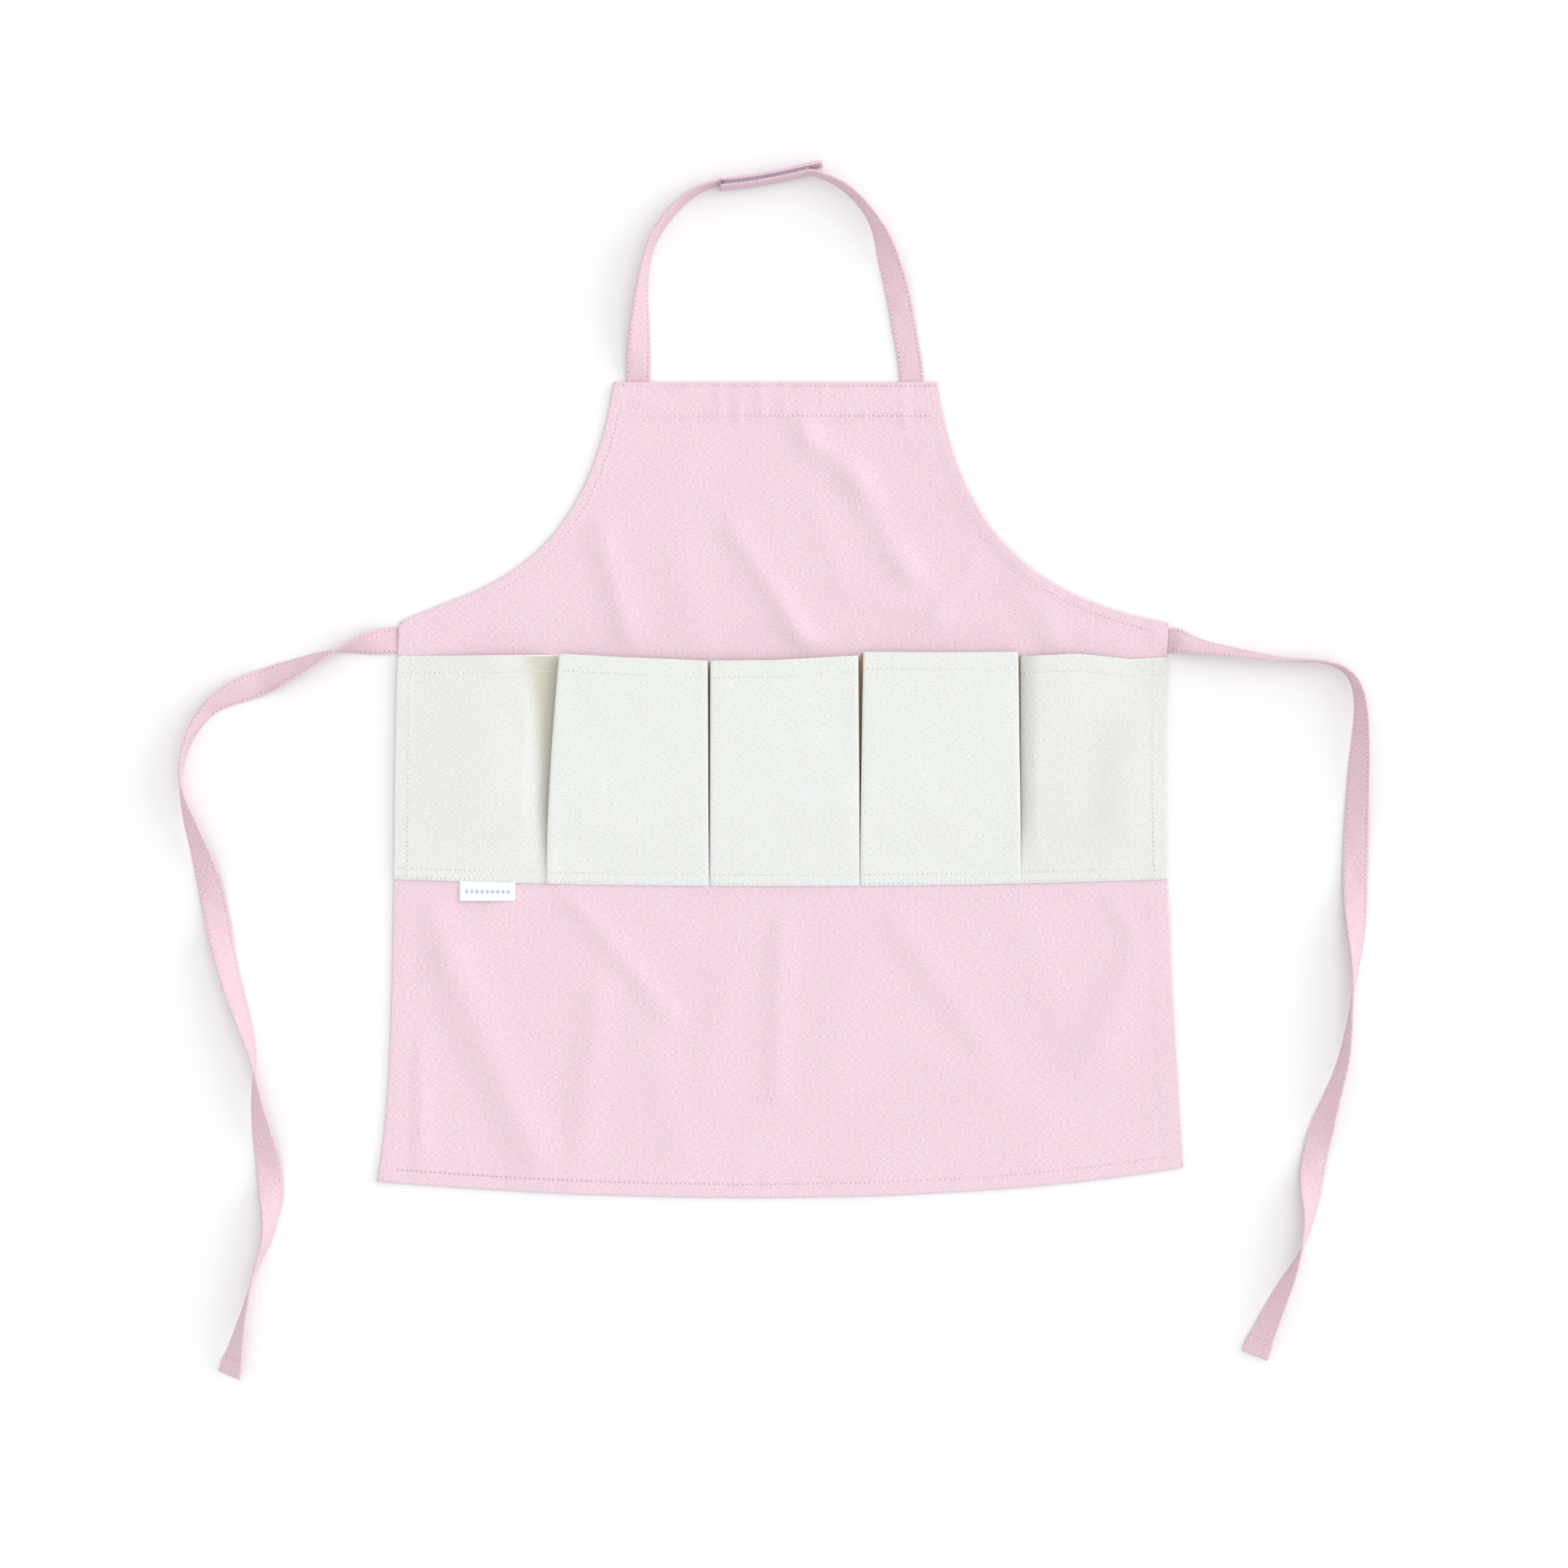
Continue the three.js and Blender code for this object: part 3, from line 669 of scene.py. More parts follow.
def seam_relief(x, y):
    """Stitched hems: a puckered groove under each row of stitches, and the hem's own thickness."""
    relief = np.zeros_like(x)
    nearest = np.full_like(x, 1e9)
    for name in ORDER:
        gap, run = EDGE_REACH[name](x, y)
        nearest = np.minimum(nearest, gap)
        pucker = 0.6 + 0.25 * np.sin(run / 1.35 + 2 * np.sin(run / 9)) + 0.25 * np.sin(run / 3.1 + gap / 4)
        for inset in STITCH_INSETS[name]:
            relief -= ROW_GROOVE * pucker * np.exp(-((gap - inset) / ROW_GROOVE_HALF) ** 2)
        depth = HEM_WIDTHS[name]
        relief += HEM_STEP * (1 - smooth(gap, depth - 0.6, depth + 2.4))
        wave = np.sin(run / 5.2 + 1.5 * np.sin(run / 23)) * np.sin(run / 17 + 1)
        relief += HEM_WAVE * wave * np.exp(-((gap - depth * 0.5) / depth) ** 2)
    return relief, nearest


def cloth_level(x, y):
    """Height of the panel's middle surface."""
    free = 1 - in_band(y)
    seam, from_edge = seam_relief(x, y)
    inner = smooth(from_edge, 8, 34)
    relief = fold_height(x, y) * (0.4 + 0.6 * inner) + ripple(x, y) * (0.3 + 0.7 * inner) - 0.6 * inner
    return PANEL_MID + (relief + seam - 0.15) * free


CUT_INSET = 0.35  # the panel's folded edge, where the hem takes over


def panel_grid():
    """The panel's places on the flat, between its four sides: a side and an armhole make one side each."""
    bottom = mitred("bottom", CUT_INSET, 500)
    top = mitred("bib", CUT_INSET, 500)[::-1]
    across = paced(polyline_length(bottom), 14, 14, 1.3, 3.9)
    right = np.vstack([mitred("right_side", CUT_INSET, 400), mitred("right_armhole", CUT_INSET, 400)[1:]])
    down = np.vstack([mitred("left_armhole", CUT_INSET, 400)[:-1], mitred("left_side", CUT_INSET, 400)])
    left = down[::-1]
    upward = paced(polyline_length(left), 11, 24, 1.1, 3.3)
    left, right = spread(left, upward)[:, None], spread(right, upward)[:, None]
    bottom, top = spread(bottom, across), spread(top, across)
    u = across[None, :, None]
    v = upward[:, None, None]
    flat = (1 - u) * left + u * right + (1 - v) * bottom[None] + v * top[None]
    flat -= (1 - u) * (1 - v) * bottom[0] + u * (1 - v) * bottom[-1]
    flat -= (1 - u) * v * top[0] + u * v * top[-1]
    return flat


def panel_surface(middle):
    """The panel's middle surface, to drop stitches and hems on."""
    rows, columns = middle.shape[:2]
    grid = np.arange(rows * columns).reshape(rows, columns)
    corners = (grid[:-1, :-1], grid[:-1, 1:], grid[1:, 1:], grid[1:, :-1])
    quads = np.stack([corner.ravel() for corner in corners], 1)
    return BVHTree.FromPolygons(middle.reshape(-1, 3).tolist(), quads.tolist())


def add_panel():
    flat = panel_grid()
    middle = np.dstack([flat, cloth_level(flat[..., 0], flat[..., 1])])
    piece = slab("panel_cloth", middle, CANVAS, flat, PINK)
    finish_piece(piece, ["main_panel"])
    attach(piece, "apron")
    return piece, panel_surface(middle)


panel, panel_tree = add_panel()


def level_at(xy):
    """Height of the panel's middle surface under each point, or at its nearest edge."""
    out = np.empty(len(xy))
    down = Vector((0, 0, -1))
    for k, (x, y) in enumerate(xy):
        hit = panel_tree.ray_cast(Vector((x, y, 50)), down)[0]
        if hit is None:
            hit = panel_tree.find_nearest(Vector((x, y, PANEL_MID)))[0]
        out[k] = hit.z
    return out


# ---- Turned edges on the back ----
def turned_section(width, cloth, leg):
    """A turned hem's section, each point as distance in from the edge and height off the cloth's middle."""
    half = cloth / 2
    under = half + 0.15
    return [
        (1.3, half - 0.1), (0.9, half + 0.005), (0.5, half + 0.03), (0.15, half - 0.03), (-0.1, half * 0.4),
        (-0.22, -half * 0.8), (-0.2, -under - leg * 0.4), (0.0, -under - leg * 0.8), (0.5, -under - leg),
        (width * 0.3, -under - leg), (width * 0.65, -under - leg), (width - 1.1, -under - leg * 0.94),
        (width - 0.9, -under - leg * 1.02), (width - 0.3, -under - leg), (width, -under - leg * 0.75),
        (width + 0.05, -under - leg * 0.35), (width - 0.3, -under), (width * 0.6, -under),
        (width * 0.25, -under), (0.6, -half * 0.9), (0.3, -half * 0.5), (0.32, half * 0.4),
        (0.8, half - 0.2),
    ]


HEM_STATIONS = {"bib": 90, "left_armhole": 90, "left_side": 110, "bottom": 170, "right_side": 110,
                "right_armhole": 90}
HEM_NODES = {"bib": "bib_top_hem", "bottom": "bottom_hem"}
HEM_FLOOR = 0.1  # the hems stay above the surface they lie on


def add_hem(edge):
    stations = HEM_STATIONS[edge]
    run = np.linspace(0, polyline_length(EDGES[edge](np.linspace(0, 1, 50))), stations)
    rings, spots = [], []
    for inward, off in turned_section(HEM_WIDTHS[edge], CANVAS, HEM_LEG):
        spot = mitred(edge, inward, stations)
        rings.append(np.column_stack([spot, np.maximum(level_at(spot) + off, HEM_FLOOR)]))
        spots.append(np.column_stack([run, np.full(stations, inward)]))
    node = HEM_NODES.get(edge, f"{edge}_hem")
    piece = sweep(f"{node}_fold", np.stack(rings, 1), np.stack(spots, 1), PINK)
    finish_piece(piece, [node])
    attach(piece, "apron")
    return piece


hems = [add_hem(edge) for edge in ORDER]


# ---- Ribbons ----
class Route:
    """A ribbon's way: its centre line and how far it is rolled about it, with the kinks eased out."""

    DENSE = 40  # places on the line for each step between two centres

    def __init__(self, centres, rolls):
        self.centres = np.asarray(centres, float)
        self.rolls = np.radians(np.asarray(rolls, float))
        self.steps = self.DENSE * (len(self.centres) - 1)
        self.share = 1 / (len(self.centres) - 1)
        dense = catmull(np.column_stack([self.centres, self.rolls]), np.linspace(0, 1, self.steps + 1))
        self.line = self.eased(dense)

    def eased(self, dense, reach=14):
        """The line with its small kinks eased out, its two ends kept."""
        span = 3 * reach
        before = 2 * dense[0] - dense[span:0:-1]
        after = 2 * dense[-1] - dense[-2:-span - 2:-1]
        padded = np.vstack([before, dense, after])
        weight = np.exp(-(np.arange(-span, span + 1) / reach) ** 2 / 2)
        weight /= weight.sum()
        return np.stack([np.convolve(padded[:, k], weight, "valid") for k in range(dense.shape[1])], 1)

    def read(self, t):
        place = np.clip(np.asarray(t, float), 0, 1) * self.steps
        return read_off(self.line, np.arange(self.steps + 1), place)

    def at(self, t):
        """Centre, direction across the ribbon and direction out of its face, at shares of the way."""
        t = np.atleast_1d(np.asarray(t, float))
        here = self.read(t)
        centre, roll = here[:, :3], here[:, 3:]
        step = 0.05 / (len(self.centres) - 1)
        ahead, behind = self.read(np.minimum(t + step, 1)), self.read(np.maximum(t - step, 0))
        along = unit(ahead[:, :3] - behind[:, :3])
        level = unit(np.stack([-along[:, 1], along[:, 0], np.zeros(len(t))], 1))
        up = np.cross(along, level)
        across = level * np.cos(roll) + up * np.sin(roll)
        return centre, across, np.cross(along, across)


def lay(route, seam, width, thickness, rest=0.5):
    """Centres of a route whose ribbon lies on the surface whichever way it is turned."""
    route = np.asarray(route, float)
    turn = np.radians(route[:, 2])
    height = rest + np.abs(np.sin(turn)) * width / 2 + np.abs(np.cos(turn)) * thickness / 2
    centres = np.column_stack([route[:, 0] + seam[0], route[:, 1] + seam[1], height])
    return centres, route[:, 2]


SECTION_SHARES = (0, 0.35, 0.6, 0.73, 0.79, 0.85, 0.93, 0.975, 1)  # middle of a ribbon out to its edge
ROW_PINCH = 0.16  # how far its rows pull it in, and how far its middle rises
CROWN = 0.05


def ribbon_section(width, thickness, open_edge=True):
    """A ribbon's section, pinched by its two rows. An open edge has the strip's two cut sides turned in."""
    half = width / 2
    a = np.array([-share for share in SECTION_SHARES[:0:-1]] + list(SECTION_SHARES))
    edge = np.clip((1 - np.abs(a)) * half / (thickness * 0.5), 0, 1)
    b = thickness / 2 * np.sqrt(np.clip(1 - (1 - edge) ** 2, 0, 1))
    b -= ROW_PINCH * np.exp(-(((1 - np.abs(a)) * half - ROW_INSET) / 0.5) ** 2)
    b += CROWN * np.exp(-((a * half) / 3) ** 2)
    top = np.column_stack([a * half, b])
    low = np.column_stack([a[::-1] * half, -b[::-1]])[1:-1]
    ring = np.vstack([top, low])
    if open_edge:
        ring[len(a) - 1] = (half - 0.35, 0.0)
    return ring


PUCKER = 0.4  # height of a ribbon's dents


def ribbon_pucker(run, place):
    """Soft dents along a ribbon's middle, between its two rows of stitches."""
    dents = np.sin(run / 4.3 + 1.7 * np.sin(run / 11)) + 0.6 * np.sin(run / 9.7 + 1.1)
    lean = 1 + 0.5 * np.sin(run / 13)[:, None] * place[None]
    grown = smooth(run, 6, 22) * smooth(run[-1] - run, 2, 12)
    return PUCKER * (dents * grown)[:, None] * lean * (1 - smooth(np.abs(place), 0.12, 0.40))[None]


RIBBON_STEP = 2.4  # from one ring of a ribbon to the next


def ribbon(name, route, width, thickness, finish, start=0.0, stop=1.0, shift=0.0, thin=None, section=None):
    """A ribbon along part of a route. thin scales its thickness, by the share travelled."""
    rough = route.read(np.linspace(start, stop, 400))[:, :3]
    count = max(4, int(polyline_length(rough) / RIBBON_STEP) + 1)
    t = np.linspace(start, stop, count)
    centre, across, out = route.at(t)
    ring = ribbon_section(width, thickness) if section is None else section
    scale = np.ones(count) if thin is None else thin(t)
    rings = centre[:, None] + ring[None, :, 0, None] * across[:, None]
    rings = rings + (shift + ring[None, :, 1, None] * scale[:, None, None]) * out[:, None]
    run = run_along(centre)
    if section is None:
        rings = rings + ribbon_pucker(run, ring[:, 0] / width)[..., None] * out[:, None]
    spots = np.stack(np.broadcast_arrays(ring[None, :, 0], run[:, None]), 2)
    return sweep(name, rings, spots, finish)


# routes: x and y from the seam, in millimetres, and roll in degrees
LEFT_STRAP_ROUTE = [
    (0, 0.4, 0), (0, 5, 3), (0.5, 16, 20), (1, 31, 35), (2, 49, 57), (3.5, 65, 70), (7, 81.5, 77),
    (12.8, 93.5, 75), (20.5, 104, 74), (29.5, 113, 76), (39, 118.8, 81), (50, 122.3, 85),
]
ON_EDGE = 86  # the closure's roll, nearly upright
CLOSURE_ROUTE = [
    (50.5, 122.4, ON_EDGE), (72, 124.8, ON_EDGE), (92, 128.8, ON_EDGE), (113.5, 133.6, ON_EDGE),
]
RIGHT_STRAP_ROUTE = [
    (0, 0.4, 0), (0, 5, 0), (-1, 13, 0), (-3, 25, 0), (-6, 43, -5), (-9, 58, -15), (-13, 73, -28),
    (-17, 87, -48), (-21.5, 97.5, -66), (-27.5, 106.8, -74), (-33.5, 113.6, -76), (-40, 119.4, -79),
    (-46.5, 123.4, -83), (-52.5, 126, -85),
]
LEFT_TIE_ROUTE = [
    (-0.8, 0, 0), (-5, 0, -2), (-10, -0.6, -9), (-18.5, -1.5, -35), (-29, -4, -65), (-39.5, -7, -95),
    (-50, -11, -116), (-61, -16, -132), (-73, -21, -152), (-85, -26, -178), (-98, -31, -208),
    (-112, -38, -236),
    (-123, -50, -250), (-130.5, -65, -264), (-134, -81, -272), (-132.5, -96, -284), (-128.5, -110, -302),
    (-123.5, -125, -316), (-118.5, -141, -336), (-114.5, -159, -360), (-111, -175, -372),
    (-107.5, -191, -396), (-102, -212.5, -406), (-96.5, -230, -416), (-91.5, -246.5, -432),
    (-88.5, -261, -450), (-87.5, -277.5, -474), (-85.5, -293, -492), (-82.5, -310, -514),
    (-80, -325, -536), (-78.5, -340, -556), (-78.5, -351, -592), (-80, -366, -610), (-85, -380, -624),
    (-90, -394, -634), (-93.5, -409, -643), (-97.5, -425, -657), (-101, -440, -679), (-104, -452, -690),
]
RIGHT_TIE_ROUTE = [
    (0.8, 0, 0), (4.5, 0, -8), (9, -1.2, -33), (18, -3.5, -54), (30.5, -5.5, -66), (45.5, -8, -74),
    (61.5, -10.5, -80), (77.5, -12, -88), (91.5, -12.5, -90), (102.5, -15, -93), (110.5, -20, -98),
    (115.5, -28, -104), (118, -40.5, -113), (118, -58, -125), (117, -78, -143), (116, -100.5, -152),
    (115.5, -123, -172), (115, -145.5, -182), (115, -165.5, -200), (115, -183, -224), (114.5, -199.5, -247),
    (113, -216.5, -262), (111.5, -231.5, -270), (109.5, -246.5, -282), (106.5, -261.5, -291),
    (102, -275.5, -300), (97, -290.5, -319), (92.5, -306.5, -348), (89.5, -321.5, -364),
    (87.5, -336.5, -384), (86.5, -351.5, -418), (84, -365.5, -433), (79.5, -380.5, -450),
    (72, -395.5, -478), (65, -410.5, -492), (58.5, -425.5, -514), (53, -440, -526),
]

ROW_POINTS = 12
seams = {}  # body or piece -> rows of stitches


def sew_row(key, points, ups):
    seams.setdefault(key, []).append((np.asarray(points, float), np.asarray(ups, float)))


def ribbon_rows(key, route, width, start, stop, shift=0.0, thin=None):
    """Two rows of stitches along a ribbon, seen on both of its faces."""
    t = np.linspace(start, stop, 260)
    centre, across, out = route.at(t)
    lift = RIBBON / 2 - 0.1
    for side in (-1, 1):
        for face in (-1, 1):
            off = (shift + face * lift * thin(t))[:, None] * out
            sew_row(key, centre + side * (width / 2 - ROW_INSET) * across + off, face * out)


def cross_row(key, route, t, width, thickness, shift=0.0):
    """A row of stitches straight across a ribbon."""
    centre, across, out = route.at([t])
    reach = np.linspace(-1, 1, ROW_POINTS)[:, None] * (width / 2 - ROW_END)
    for face in (-1, 1):
        row = centre + reach * across + (shift + face * (thickness / 2 - 0.02)) * out
        row[:, 2] = np.maximum(row[:, 2], BACK_STITCH)
        sew_row(key, row, np.repeat(face * out, ROW_POINTS, 0))


def end_share(route, length):
    """The share of a route that a length at its end takes."""
    last = np.linalg.norm(route.centres[-1, :2] - route.centres[-2, :2])
    return length / last * route.share


def pressed_end(share):
    """A ribbon's thickness, pressed flat where it is sewn down and full further on."""
    return lambda t: PRESSED / RIBBON + (1 - PRESSED / RIBBON) * smooth(t, 2.4 * share, 4.6 * share)


SEWN_HEIGHT = 0.42  # middle of a tie's pressed end, behind the panel
TIE_SEAMS = {
    "left": (WAIST_LEFT[0] - 0.11, LEFT_END_HIGH[0], -1),  # seam, inner end and the way out
    "right": (WAIST_RIGHT[0], RIGHT_END_LOW[0], 1),
}


def tie_route_from(side, points):
    """A waist tie's way, from its sewn end at the waist corner to its free end."""
    seam_x, inner_x, outward = TIE_SEAMS[side]
    centres, rolls = lay(points, (seam_x, TIE_Y), TIE_WIDTH, END_HEM_CLOTH)
    sewn = [
        (inner_x, TIE_Y, SEWN_HEIGHT), ((inner_x + seam_x) / 2, TIE_Y, SEWN_HEIGHT),
        (seam_x - outward * 2.2, TIE_Y, 0.44), (seam_x + outward * 0.6, TIE_Y, 0.7),
    ]
    return Route(np.vstack([sewn, centres[1:]]), np.concatenate([np.zeros(len(sewn)), rolls[1:]]))


def add_tie(side, points):
    """A waist tie, sewn in at the waist corner and lying loose, with a rolled hem at its free end."""
    route = tie_route_from(side, points)
    thin = pressed_end(route.share)
    hem_from = 1 - end_share(route, END_HEM)
    piece = ribbon(f"{side}_tie_ribbon", route, TIE_WIDTH, RIBBON, RIBBON_PINK_SHADED, stop=hem_from + 0.002,
                   thin=thin)
    finish_piece(piece, [f"{side}_waist_tie", f"{side}_tie_sewn_end"])
    hem = add_end_hem(side, route, hem_from)
    key = f"{side}_tie"
    ribbon_rows(key, route, TIE_WIDTH, 3.3 * route.share, hem_from, thin=thin)
    cross_row(key, route, hem_from + end_share(route, 1.3), TIE_WIDTH, END_HEM_CLOTH)
    cross_row("apron", route, 0.4 * route.share, TIE_WIDTH, PRESSED)
    cross_row("apron", route, 2.0 * route.share, TIE_WIDTH, PRESSED)
    tie_blend(piece)
    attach(hem, f"{side}_tie")
    declare_tie(route)


END_HEM_RINGS = 16
END_HEM_SPREAD = 1.6  # the rolled end is this much wider than the tie


def add_end_hem(side, route, start):
    """The free end turned over twice: a thick rounded pad with a fold at both ends."""
    share = np.linspace(0, 1, END_HEM_RINGS)
    centre, across, out = route.at(np.linspace(start, 1, END_HEM_RINGS))
    swell = np.sqrt(np.clip(1 - (2 * share - 1) ** 8, 0.02, 1))
    swell[:2] = (0.55, 0.85)
    ring = ribbon_section(TIE_WIDTH + END_HEM_SPREAD, END_HEM_CLOTH, open_edge=False)
    grow = 1 + 0.015 * np.sin(3 * share)
    rings = centre[:, None] + (ring[None, :, 0] * grow[:, None])[..., None] * across[:, None]
    rings = rings + (ring[None, :, 1] * swell[:, None])[..., None] * out[:, None]
    spots = np.stack(np.broadcast_arrays(ring[None, :, 0], run_along(centre)[:, None]), 2)
    hem = sweep(f"{side}_tie_rolled_hem", rings, spots, RIBBON_PINK_SHADED)
    return finish_piece(hem, [f"{side}_tie_end_hem"])


def declare_tie(route):
    """The free length runs from the waist seam to the rolled end."""
    line = route.read(np.linspace(0, 1 - end_share(route, END_HEM), 240))[:, :3]
    free = route.read(np.linspace(3 * route.share, 1, 200))[:, :3]


def tie_blend(piece):
    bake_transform(piece)


add_tie("left", LEFT_TIE_ROUTE)
add_tie("right", RIGHT_TIE_ROUTE)


# ---- Neck straps and the closure ----
STRAP_CLOTH = 1.2  # a strap where it lies against its tape
TAPE = 0.6
TAPE_GAP = 0.3
TAPE_WIDTH = STRAP_WIDTH - 0.8
HOOK_SHIFT = STRAP_CLOTH / 2 + TAPE_GAP + TAPE / 2  # the outer tab out to the tapes and the inner tab
LOOP_SHIFT = HOOK_SHIFT + TAPE + TAPE_GAP
INNER_SHIFT = LOOP_SHIFT + TAPE / 2 + TAPE_GAP + STRAP_CLOTH / 2
TAB_SHIFT = -0.3  # the outer tab's folded end swells away from the tapes
TAPE_START = 0.03
JOIN_AT = 0.88  # share of the closure at which the right strap meets it
RIGHT_REACH = -60.4  # the right strap's way across, stretched to meet the closure
STRAP_ROWS = (3.0, 13.2)  # bib edge down to the rows that hold the straps


def strap_start(seam_x):
    """The pressed end of a strap inside the bib hem, as far as the bib edge."""
    return np.array([(seam_x, BIB_Y - 14.3, 0.4), (seam_x, BIB_Y - 8, 0.4), (seam_x, BIB_Y - 2, 0.42),
                     (seam_x, BIB_Y + 0.8, 0.6)])


def strap_route(seam_x, points, onward, roll):
    """A strap's way from inside the bib hem, along its points and through the centres onward."""
    start = strap_start(seam_x)
    centres, rolls = lay(points, (seam_x, BIB_Y), STRAP_WIDTH, STRAP_CLOTH)
    rolls = np.concatenate([np.zeros(len(start)), rolls[1:], np.full(len(onward), roll)])
    return Route(np.vstack([start, centres[1:], onward]), rolls)


def add_strap(side, route, nodes, rows_end):
    """A neck strap's ribbon and its two rows of stitches."""
    thin = pressed_end(route.share)
    piece = ribbon(f"{side}_neck_strap_ribbon", route, STRAP_WIDTH, RIBBON, RIBBON_PINK_SHADED, thin=thin)
    finish_piece(piece, nodes)
    ribbon_rows(f"{side}_strap", route, STRAP_WIDTH, 3.4 * route.share, rows_end, thin=thin)
    strap_blend(piece)


def tab_swell(t):
    return 1 + 0.5 * smooth(t, 0.0, 0.12)


def add_tab(closure):
    """The left strap's end, which overlaps the right strap's on the outside."""
    tab = ribbon("left_strap_tab_ribbon", closure, STRAP_WIDTH, RIBBON, RIBBON_PINK_SHADED, shift=TAB_SHIFT,
                 thin=tab_swell)
    finish_piece(tab, ["left_strap_tab"])
    ribbon_rows("tab", closure, STRAP_WIDTH, 0.02, 0.985, shift=TAB_SHIFT, thin=tab_swell)
    cross_row("tab", closure, 0.975, STRAP_WIDTH, RIBBON * 1.5, shift=TAB_SHIFT)
    tab_blend(tab)


def tape_section(width, thickness):
    half, level = width / 2, thickness / 2
    top = [(-half + 0.15, level), (-half / 2, level), (0, level), (half / 2, level), (half - 0.15, level)]
    low = [(x, -z) for x, z in top[::-1]]
    return np.array([(-half, 0)] + top + [(half, 0)] + low)


def add_tape(node, closure, shift, finish, body):
    piece = ribbon(f"{node}_strip", closure, TAPE_WIDTH, TAPE, finish, TAPE_START, JOIN_AT - 0.01,
                   shift=shift, section=tape_section(TAPE_WIDTH, TAPE))
    finish_piece(piece, [node])
    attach(piece, body)


def mark_strap_seams():
    """The rows that hold each strap's end inside the bib hem, on the back."""
    for x in (LEFT_STRAP_X, RIGHT_STRAP_X):
        for drop in STRAP_ROWS:
            reach = np.linspace(-1, 1, ROW_POINTS) * (STRAP_WIDTH / 2 - ROW_END)
            level = np.full(ROW_POINTS, BIB_Y - drop)
            row = np.column_stack([x + reach, level, np.full(ROW_POINTS, BACK_STITCH)])
            sew_row("apron", row, np.tile([0, 0, -1.0], (ROW_POINTS, 1)))


def add_neck_loop():
    closure = Route(*lay(CLOSURE_ROUTE, (LEFT_STRAP_X, BIB_Y), STRAP_WIDTH, STRAP_CLOTH))
    left = strap_route(LEFT_STRAP_X, LEFT_STRAP_ROUTE, closure.centres[:1], ON_EDGE)
    add_strap("left", left, ["left_neck_strap", "left_strap_sewn_end"], 1)
    add_tab(closure)
    add_tape("hook_tape", closure, HOOK_SHIFT, HOOK_TAPE, "closure_tab")
    add_tape("loop_tape", closure, LOOP_SHIFT, LOOP_TAPE, "right_neck_strap")
    centre, _, out = closure.at([JOIN_AT, 0.80, 0.60, 0.40, 0.20, 0.0])
    inner = centre + out * INNER_SHIFT
    stretch = (inner[0, 0] - RIGHT_STRAP_X) / RIGHT_REACH
    points = [(x * stretch, y, roll) for x, y, roll in RIGHT_STRAP_ROUTE]
    right = strap_route(RIGHT_STRAP_X, points, inner, -ON_EDGE)
    add_strap("right", right, ["right_neck_strap", "right_strap_sewn_end", "right_strap_tab"], 0.995)
    mark_strap_seams()


def strap_blend(piece):
    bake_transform(piece)


def tab_blend(piece):
    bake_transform(piece)


add_neck_loop()


# ---- Pockets ----
BAND_SAG = 4.3
BAND_HALF = 238  # half the band's width
PLEATED = (2, 3, 4)  # the pockets that open on gussets; 1 and 5 are sewn down along their sides


def foot_line(x):
    """The band's bottom seam, which sags a little between its ends."""
    return FOOT_Y + 1.2 - BAND_SAG * (1 - ((x - 1) / BAND_HALF) ** 2)


MOUTH_LINES = {  # mouth height off the frame's mouth at shares of a pocket's width
    1: ((0, -0.6), (0.5, -0.4), (1, 0.2)),
    2: ((0, 0.7), (0.4, -1.4), (1, -3.6)),
    3: ((0, -3.6), (0.45, -3.2), (1, -0.4)),
    4: ((0, 1.8), (0.5, 1.5), (1, 1.8)),
    5: ((0, -0.8), (0.4, 0.6), (0.75, -2.6), (1, -1.2)),
}


def side_x(side, y):
    """Where the panel's side edge runs at a height."""
    points = edge_points(f"{side}_side", 400, 200)
    order = np.argsort(points[:, 1])
    return np.interp(y, points[order, 1], points[order, 0])


def pocket_sides(i, v):
    """Left and right edge of a pocket at shares v of its height."""
    left, right = POCKET_EDGES[i - 1]
    y = FOOT_Y + v * (MOUTH_Y - FOOT_Y)
    lefts, rights = np.full_like(v, left), np.full_like(v, right)
    if i == 1:
        lefts = side_x("left", y) - 0.2
        rights = right + 3.9 * v ** 1.6
    if i == 2:
        lefts = left - 4.3 + 8.0 * v ** 1.6
        rights = right - 0.6 - 0.7 * v
    if i == 3:
        lefts = left + 0.3 + 0.35 * v
        rights = right - 0.9 - 0.9 * v ** 1.5
    if i == 4:
        lefts = left - 0.3 + 1.9 * v ** 1.4
        rights = right + 0.4 - 1.9 * v
    if i == 5:
        lefts = np.full_like(v, left + 0.2)
        rights = side_x("right", y) + 0.2
    return lefts, rights


POCKET_RISE = 4.9  # how far a front stands off the panel, and how far above its seam it gets there
RISE_WITHIN = 55


